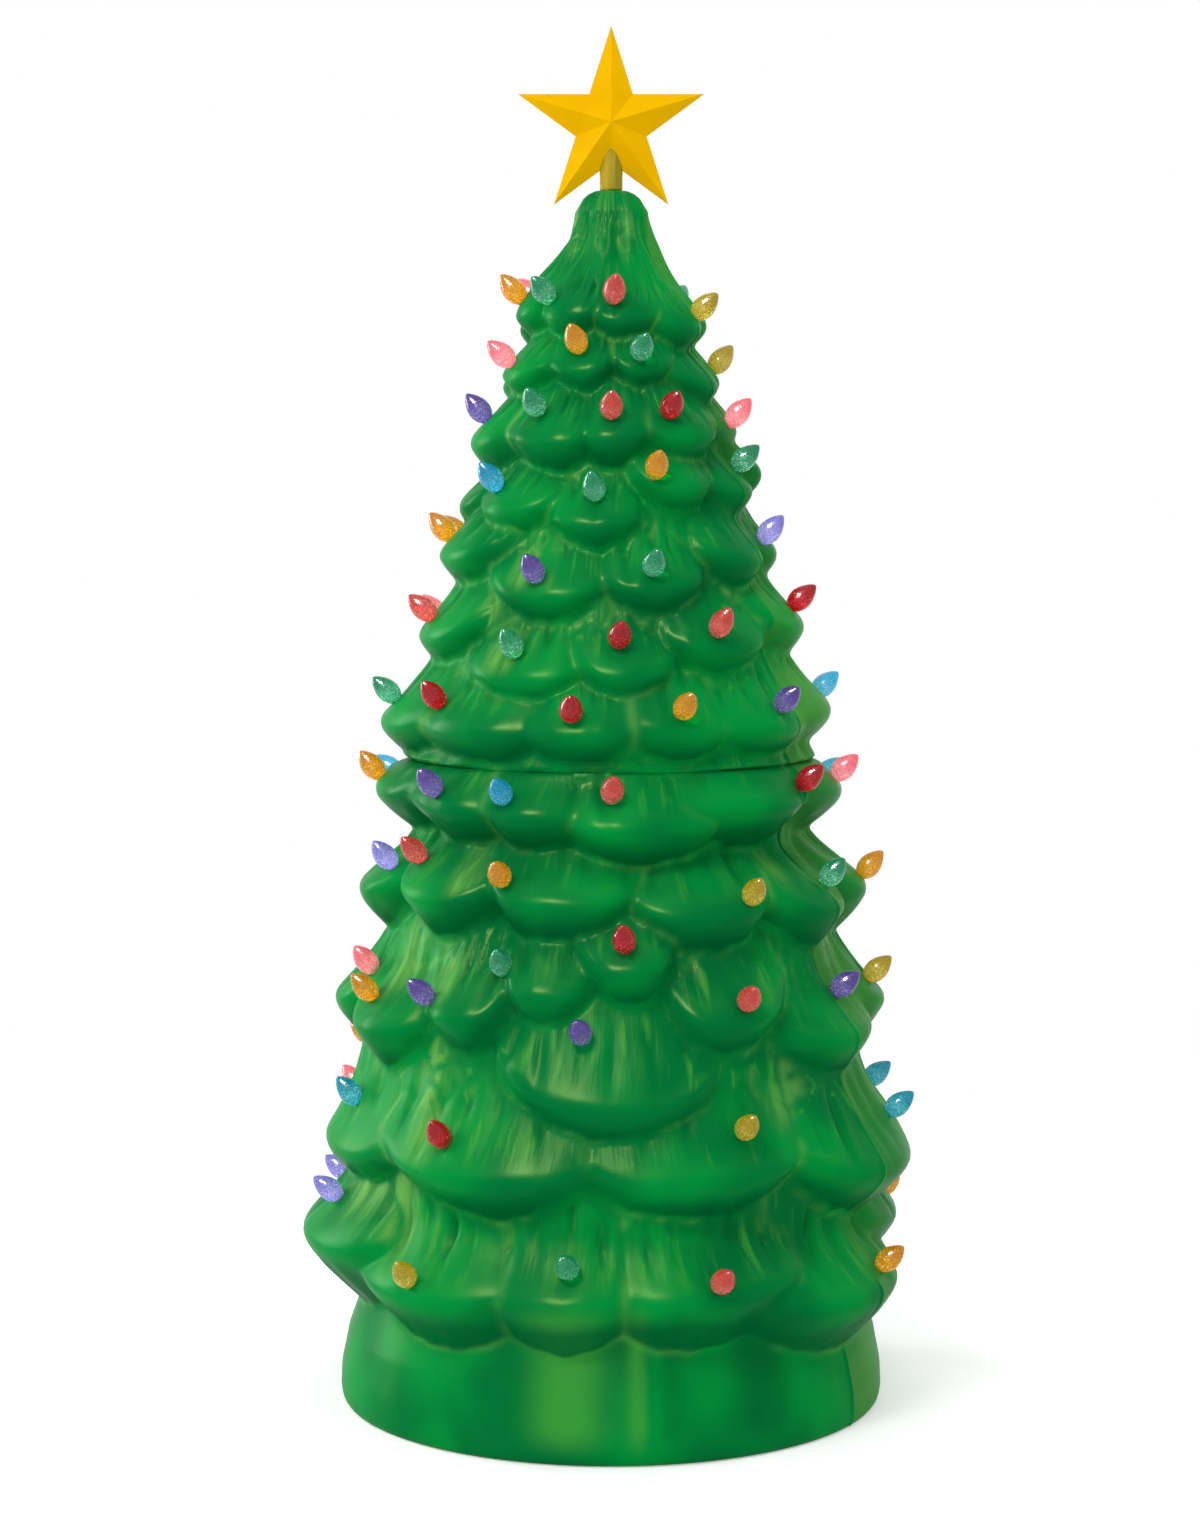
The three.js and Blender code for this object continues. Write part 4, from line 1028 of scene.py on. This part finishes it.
postProfile += [(postRadius, postTop - 1), (postRadius - 1, postTop), (bore, postTop), (bore, neckTop + 25.7),
                (0, neckTop + 25.7)]
post = lathe("starPost", postProfile, 48, postGreen)
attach(post, "post_body")
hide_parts("star_post")


def lampPlastic():
    material, tree, surface, place = startMaterial("clear lamp")
    ripple = noise(tree, place, 300.0, 2.0)
    tint = blendColours(tree, span(tree, ripple, 0.3, 0.7), colour("#F4F0DC"), colour("#FBF9EE"))
    setInputs(tree, surface, {
        "Base Color": tint, "Roughness": 0.08, "Transmission Weight": 0.7, "IOR": 1.45,
        "Normal": bump(tree, ripple, 0.05, 0.0004)})
    return material


lampShape = {"radius": 5.5, "collar": 6.0, "length": 30, "lead": 10}
lampLow = postTop + seatGap
lampRadius, collar, lampTop = lampShape["radius"], lampShape["collar"], lampLow + lampShape["length"]
dome = [(lampRadius * math.cos(t), lampTop - lampRadius + lampRadius * math.sin(t))
        for t in np.radians([0, 15, 30, 45, 60, 75])]
lead = lampLow - lampShape["lead"]
lamp = lathe("starLamp", [
    (0, lead), (2.4, lead), (2.6, lead + 0.2), (2.6, lampLow), (collar, lampLow), (collar, lampLow + 1.6),
    (lampRadius, lampLow + 2), *dome, (0, lampTop)], 40, lampPlastic())
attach(lamp, "post_body")
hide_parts("star_lamp")
print("star, sleeve, post and lamp made")


# Control panel, button and gland at the back of the base
panelShape = {"edge": 0.9, "glandRings": 4, "glandOut": 9}


def softCopy(node, name, width, material, body):
    # A merged copy of a CAD solid with its flat faces joined again, then softened edges
    piece = linked(name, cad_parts[node].data.copy())
    work = bmesh.new()
    work.from_mesh(piece.data)
    bmesh.ops.remove_doubles(work, verts=work.verts, dist=1e-5)
    bmesh.ops.dissolve_limit(work, angle_limit=math.radians(1), verts=work.verts, edges=work.edges)
    work.to_mesh(piece.data)
    work.free()
    piece.data.materials.clear()
    bevelled(piece, width, 3, 40)
    refinished(piece, material, 35)
    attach(piece, body)
    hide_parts(node)


def backPiece(node, name, profile, sides, material, body, out=0):
    # A turned piece that faces the back, at the place of its CAD solid
    low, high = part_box(node)
    spot = Vector(((low.x + high.x) / 2 / mm, high.y / mm - out, (low.z + high.z) / 2 / mm)) * mm
    piece = lathe(name, profile, sides, material, Matrix.Translation(spot) @ Matrix.Rotation(-math.pi / 2, 4, "X"))
    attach(piece, body)
    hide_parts(node)


panelGreen = plainPlastic("panel green plastic", "#16472B", roughness=(0.45, 0.6), grain=0.25)
softCopy("control_panel", "controlPanel", panelShape["edge"], panelGreen, "lower_body")

buttonGrey = plainPlastic("button grey plastic", "#D8D8D2", cloud=0.04)
backPiece("power_button", "powerButton", [
    (0, -13), (3.7, -13), (4, -12.7), (4, -9), (6.2, -9), (6.5, -8.7), (6.5, -1.1), (6.3, -0.4), (5.7, 0),
    (4.8, -0.05), (4.0, -0.5), (2.5, -0.75), (0, -0.8)], 48, buttonGrey, "button_body")

glandProfile = [(3.8, -16.5), (4.2, -17), (5.2, -17), (5.5, -16.7), (5.5, 0.3), (7.6, 0.3), (8, 0.7), (8, 2.6),
                (7.6, 3), (6.6, 3.2)]
for k in range(panelShape["glandRings"]):
    z, crest, valley = 3.6 + 1.3 * k, 6.4 - 0.2 * k, 5.7 - 0.15 * k
    glandProfile += [(crest, z), (crest, z + 0.6), (valley, z + 0.75), (valley, z + 1.15)]
glandProfile += [(5.2, 8.9), (4.1, 9), (3.8, 8.7), (3.8, -16.5)]
rubber = plainPlastic("gland rubber", "#1C1D1F", roughness=(0.6, 0.75), grain=0.3)
backPiece("cord_gland", "cordGland", glandProfile, 40, rubber, "lower_body", panelShape["glandOut"])
print("panel, button and gland made")

# Under the base: the service cover with its ribs, and the screws
coverShape = {"ribs": 24, "ribSize": (0.026, 0.0016, 0.0012), "ribCircle": 0.038, "thickness": 3}
coverGreen = plainPlastic("cover green plastic", "#1D5C36", roughness=(0.5, 0.65), grain=0.3)
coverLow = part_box("base_cover")[0].z / mm
coverTop = coverLow + coverShape["thickness"]
coverDisc = lathe("coverDisc", [
    (0, coverLow + 0.6), (10, coverLow + 0.6), (11, coverLow), (22, coverLow), (23, coverLow + 0.8),
    (54, coverLow + 0.8), (55, coverLow), (79, coverLow), (80, coverLow + 0.8), (80, coverTop - 0.3),
    (79.7, coverTop), (61.4, coverTop), (61.4, coverTop + 4), (61, coverTop + 4.5), (58.9, coverTop + 4.5),
    (58.5, coverTop + 4), (58.5, coverTop), (0, coverTop)], 96)


def ribTree():
    tree, given, identifiers = startTree("ribMaker", Int=["Count"], Float=["Circle", "Height"], Vector=["Size"])
    ring = geometry(tree, "MeshCircle", {"Vertices": given["Count"], "Radius": given["Circle"]})
    ring = shifted(tree, ring, given["Height"])
    here = ownPlace(tree)
    rib = geometry(tree, "MeshCube", {"Size": given["Size"]})
    ribs = geometry(tree, "InstanceOnPoints", {
        "Points": ring, "Instance": rib, "Rotation": turnedTo(tree, joinXYZ(tree, here[0], here[1]), "X")})
    endTree(tree, joined(tree, given["Geometry"], ribs), given["Material"])
    return tree, identifiers


ribMaker, ribInputs = ribTree()
baseCover = madeByNodes("baseCover", coverDisc, ribMaker, ribInputs, {
    "Count": coverShape["ribs"], "Circle": coverShape["ribCircle"], "Height": (coverLow + 0.9) * mm,
    "Size": coverShape["ribSize"], "Material": coverGreen})
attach(baseCover, "lower_body")
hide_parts("base_cover")


def screwTree():
    tree, given, identifiers = startTree(
        "screwMaker", Float=["Head Radius", "Head Height", "Shank Radius", "Shank Length"], Vector=["Slot"])
    dome = geometry(tree, "MeshUVSphere", {"Segments": 24, "Rings": 12, "Radius": given["Head Radius"]})
    here = ownPlace(tree)
    squash = maths(tree, "DIVIDE", given["Head Height"], given["Head Radius"])
    head = movedTo(tree, dome, here[0], here[1], times(tree, maths(tree, "MAXIMUM", here[2], 0.0), squash))
    head = geometry(tree, "MergeByDistance", {"Geometry": head, "Distance": 0.00001})
    cutHead = addNode(tree, "GeometryNodeMeshBoolean", {"Mesh 1": head}, operation="DIFFERENCE")
    lift = maths(tree, "ADD", given["Head Height"], 0.0002)
    for turn in (0.0, math.pi / 2):
        bar = shifted(tree, geometry(tree, "MeshCube", {"Size": given["Slot"]}), lift, turn)
        tree.links.new(bar, cutHead.inputs["Mesh 2"])
    screw = joined(tree, cutHead.outputs[0], hangingRod(tree, 16, given["Shank Radius"], given["Shank Length"]))
    endTree(tree, standingOnPoints(tree, given["Geometry"], screw), given["Material"])
    return tree, identifiers


screwShape = {"Head Radius": 0.004, "Head Height": 0.0022, "Shank Radius": 0.0018, "Slot": (0.0046, 0.0009, 0.003)}
screwSteel = plainPlastic("screw steel", "#B9BCC0", metallic=1.0, roughness=(0.25, 0.42), cloud=0.06)
screwMaker, screwInputs = screwTree()


def screwPiece(name, nodes, aim, length):
    seats = []
    for node in nodes:
        low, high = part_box(node)
        height = low.z + screwShape["Head Height"] if aim < 0 else high.z - screwShape["Head Height"]
        seats.append(((low.x + high.x) / 2, (low.y + high.y) / 2, height))
    source = pointSource(name + "Seats", seats)
    addAttribute(source.data, "aim", "FLOAT_VECTOR", [(0, 0, aim)] * len(seats))
    piece = madeByNodes(name, source, screwMaker, screwInputs, {
        **screwShape, "Shank Length": length, "Material": screwSteel})
    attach(piece, "lower_body")
    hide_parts(*nodes)


screwPiece("coverScrews", ["cover_screw_%d" % i for i in range(1, 5)], -1, 0.0128)
screwPiece("driverScrews", ["driver_screw_1", "driver_screw_2"], 1, 0.0068)
print("cover and screws made")

# Inside the base: driver, switch, link and cable, seen only with the cover or the upper section off
hiddenShape = {"driverEdge": 1.2, "switchEdge": 0.6, "linkEdge": 0.8}
driverBlack = plainPlastic("driver black plastic", "#2B2D2F", roughness=(0.4, 0.55), grain=0.25)
linkWhite = plainPlastic("link white plastic", "#E9E9E4", roughness=(0.4, 0.5), cloud=0.05)
softCopy("led_driver", "ledDriver", hiddenShape["driverEdge"], driverBlack, "lower_body")
softCopy("push_switch", "pushSwitch", hiddenShape["switchEdge"], driverBlack, "lower_body")
softCopy("lower_connector", "lowerLink", hiddenShape["linkEdge"], linkWhite, "lower_body")
softCopy("upper_connector", "upperLink", hiddenShape["linkEdge"], linkWhite, "upper_body")
cableGreen = plainPlastic("cable green", "#1C5A34", roughness=(0.5, 0.65))
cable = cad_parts["wiring_cable"]
cable.data.materials.clear()
cable.data.materials.append(cableGreen)
print("hidden pieces made")

# Floor, light and camera
studio = {
    "world": 0.46, "floorRadius": 2.6, "floorLift": 0.3,
    "floorColour": (0.93, 0.93, 0.93, 1.0), "floorPale": (0.96, 0.96, 0.96, 1.0),
    "lights": [
        ("key", (-0.9, -2.2, 2.7), (0.0, 0.0, 0.62), (1.2, 0.5), 26, "diffuse"),
        ("shine", (-1.0, -2.1, 2.6), (0.0, 0.0, 0.62), (1.2, 0.9), 620, "glossy"),
        ("front", (-0.35, -3.0, 0.95), (0.0, 0.0, 0.5), (1.0, 1.2), 10, "diffuse"),
        ("fill", (2.4, -2.0, 1.3), (0.0, 0.0, 0.55), (1.2, 1.2), 5, "diffuse"),
        ("left", (-2.2, 1.2, 0.9), (0.0, 0.0, 0.6), (0.7, 1.8), 30, "diffuse"),
        ("rim", (-2.3, 0.9, 1.0), (0.0, 0.0, 0.6), (0.7, 1.8), 60, "glossy"),
        ("side", (-2.4, -0.6, 1.2), (0.0, 0.0, 0.6), (0.8, 1.4), 14, "diffuse"),
        ("right", (2.3, 0.9, 1.4), (0.0, 0.0, 0.6), (0.8, 1.4), 12, "diffuse"),
        ("top", (0.3, -0.6, 3.2), (0.0, 0.0, 0.5), (1.2, 1.2), 14, "diffuse"),
    ],
    "camera": (0.0, -2.75, 0.770), "pitch": 4.57, "yaw": 0.196, "lens": 76.46,
}


def floorMaterial():
    material, tree, surface, place = startMaterial("pale floor")
    away = addNode(tree, "ShaderNodeVectorMath", {0: place}, operation="LENGTH").outputs["Value"]
    cloud = noise(tree, place, 3.0, 2.0)
    tint = blendColours(tree, cloud, studio["floorColour"], studio["floorPale"])
    seenFirst = addNode(tree, "ShaderNodeLightPath").outputs["Is Camera Ray"]
    setInputs(tree, surface, {
        "Base Color": tint, "Roughness": 0.9, "Specular IOR Level": 0.0,
        "Emission Color": (1.0, 1.0, 1.0, 1.0),
        "Emission Strength": times(tree, seenFirst, studio["floorLift"])})
    clear = addNode(tree, "ShaderNodeBsdfTransparent")
    mix = addNode(tree, "ShaderNodeMixShader", {0: span(tree, away, 0.55, 2.0)})
    tree.links.new(surface.outputs[0], mix.inputs[1])
    tree.links.new(clear.outputs[0], mix.inputs[2])
    tree.links.new(mix.outputs[0], tree.nodes["Material Output"].inputs["Surface"])
    return material


ring = [(studio["floorRadius"] * math.cos(t), studio["floorRadius"] * math.sin(t), -0.0005)
        for t in (2 * math.pi * k / 64 for k in range(64))]
floor = meshObject("floor", ring, [list(range(64))], smooth=False)
floor.data.materials.append(floorMaterial())

world = bpy.data.worlds.new("studio")
bpy.context.scene.world = world
world.use_nodes = True
sky = world.node_tree
sky.nodes.clear()
rays = addNode(sky, "ShaderNodeLightPath")
seen = maths(sky, "MAXIMUM", rays.outputs["Is Camera Ray"], rays.outputs["Is Transmission Ray"])
seen = maths(sky, "MAXIMUM", seen, rays.outputs["Is Glossy Ray"])
strength = addNode(sky, "ShaderNodeMapRange", {0: seen, 1: 0.0, 2: 1.0, 3: studio["world"], 4: 1.0})
ambient = addNode(sky, "ShaderNodeBackground", {0: (1.0, 1.0, 1.0, 1.0), 1: strength.outputs[0]})
addNode(sky, "ShaderNodeOutputWorld", {0: ambient.outputs[0]})

for name, spot, target, size, power, shows in studio["lights"]:
    data = bpy.data.lights.new(name, "AREA")
    data.shape = "ELLIPSE"
    data.size, data.size_y = size
    data.energy = power
    light = linked(name, data)
    light.location = spot
    light.rotation_euler = (Vector(target) - Vector(spot)).to_track_quat("-Z", "Y").to_euler()
    # Some lights give the light, others only the highlights
    light.visible_glossy = shows == "glossy"
    light.visible_diffuse = shows == "diffuse"

cameraData = bpy.data.cameras.new("camera")
cameraData.lens = studio["lens"]
cameraData.clip_end = 50
camera = linked("camera", cameraData)
camera.location = studio["camera"]
camera.rotation_euler = (math.radians(90 - studio["pitch"]), 0, math.radians(studio["yaw"]))
bpy.context.scene.camera = camera
bpy.context.scene.view_settings.view_transform = "Standard"
print("studio made")
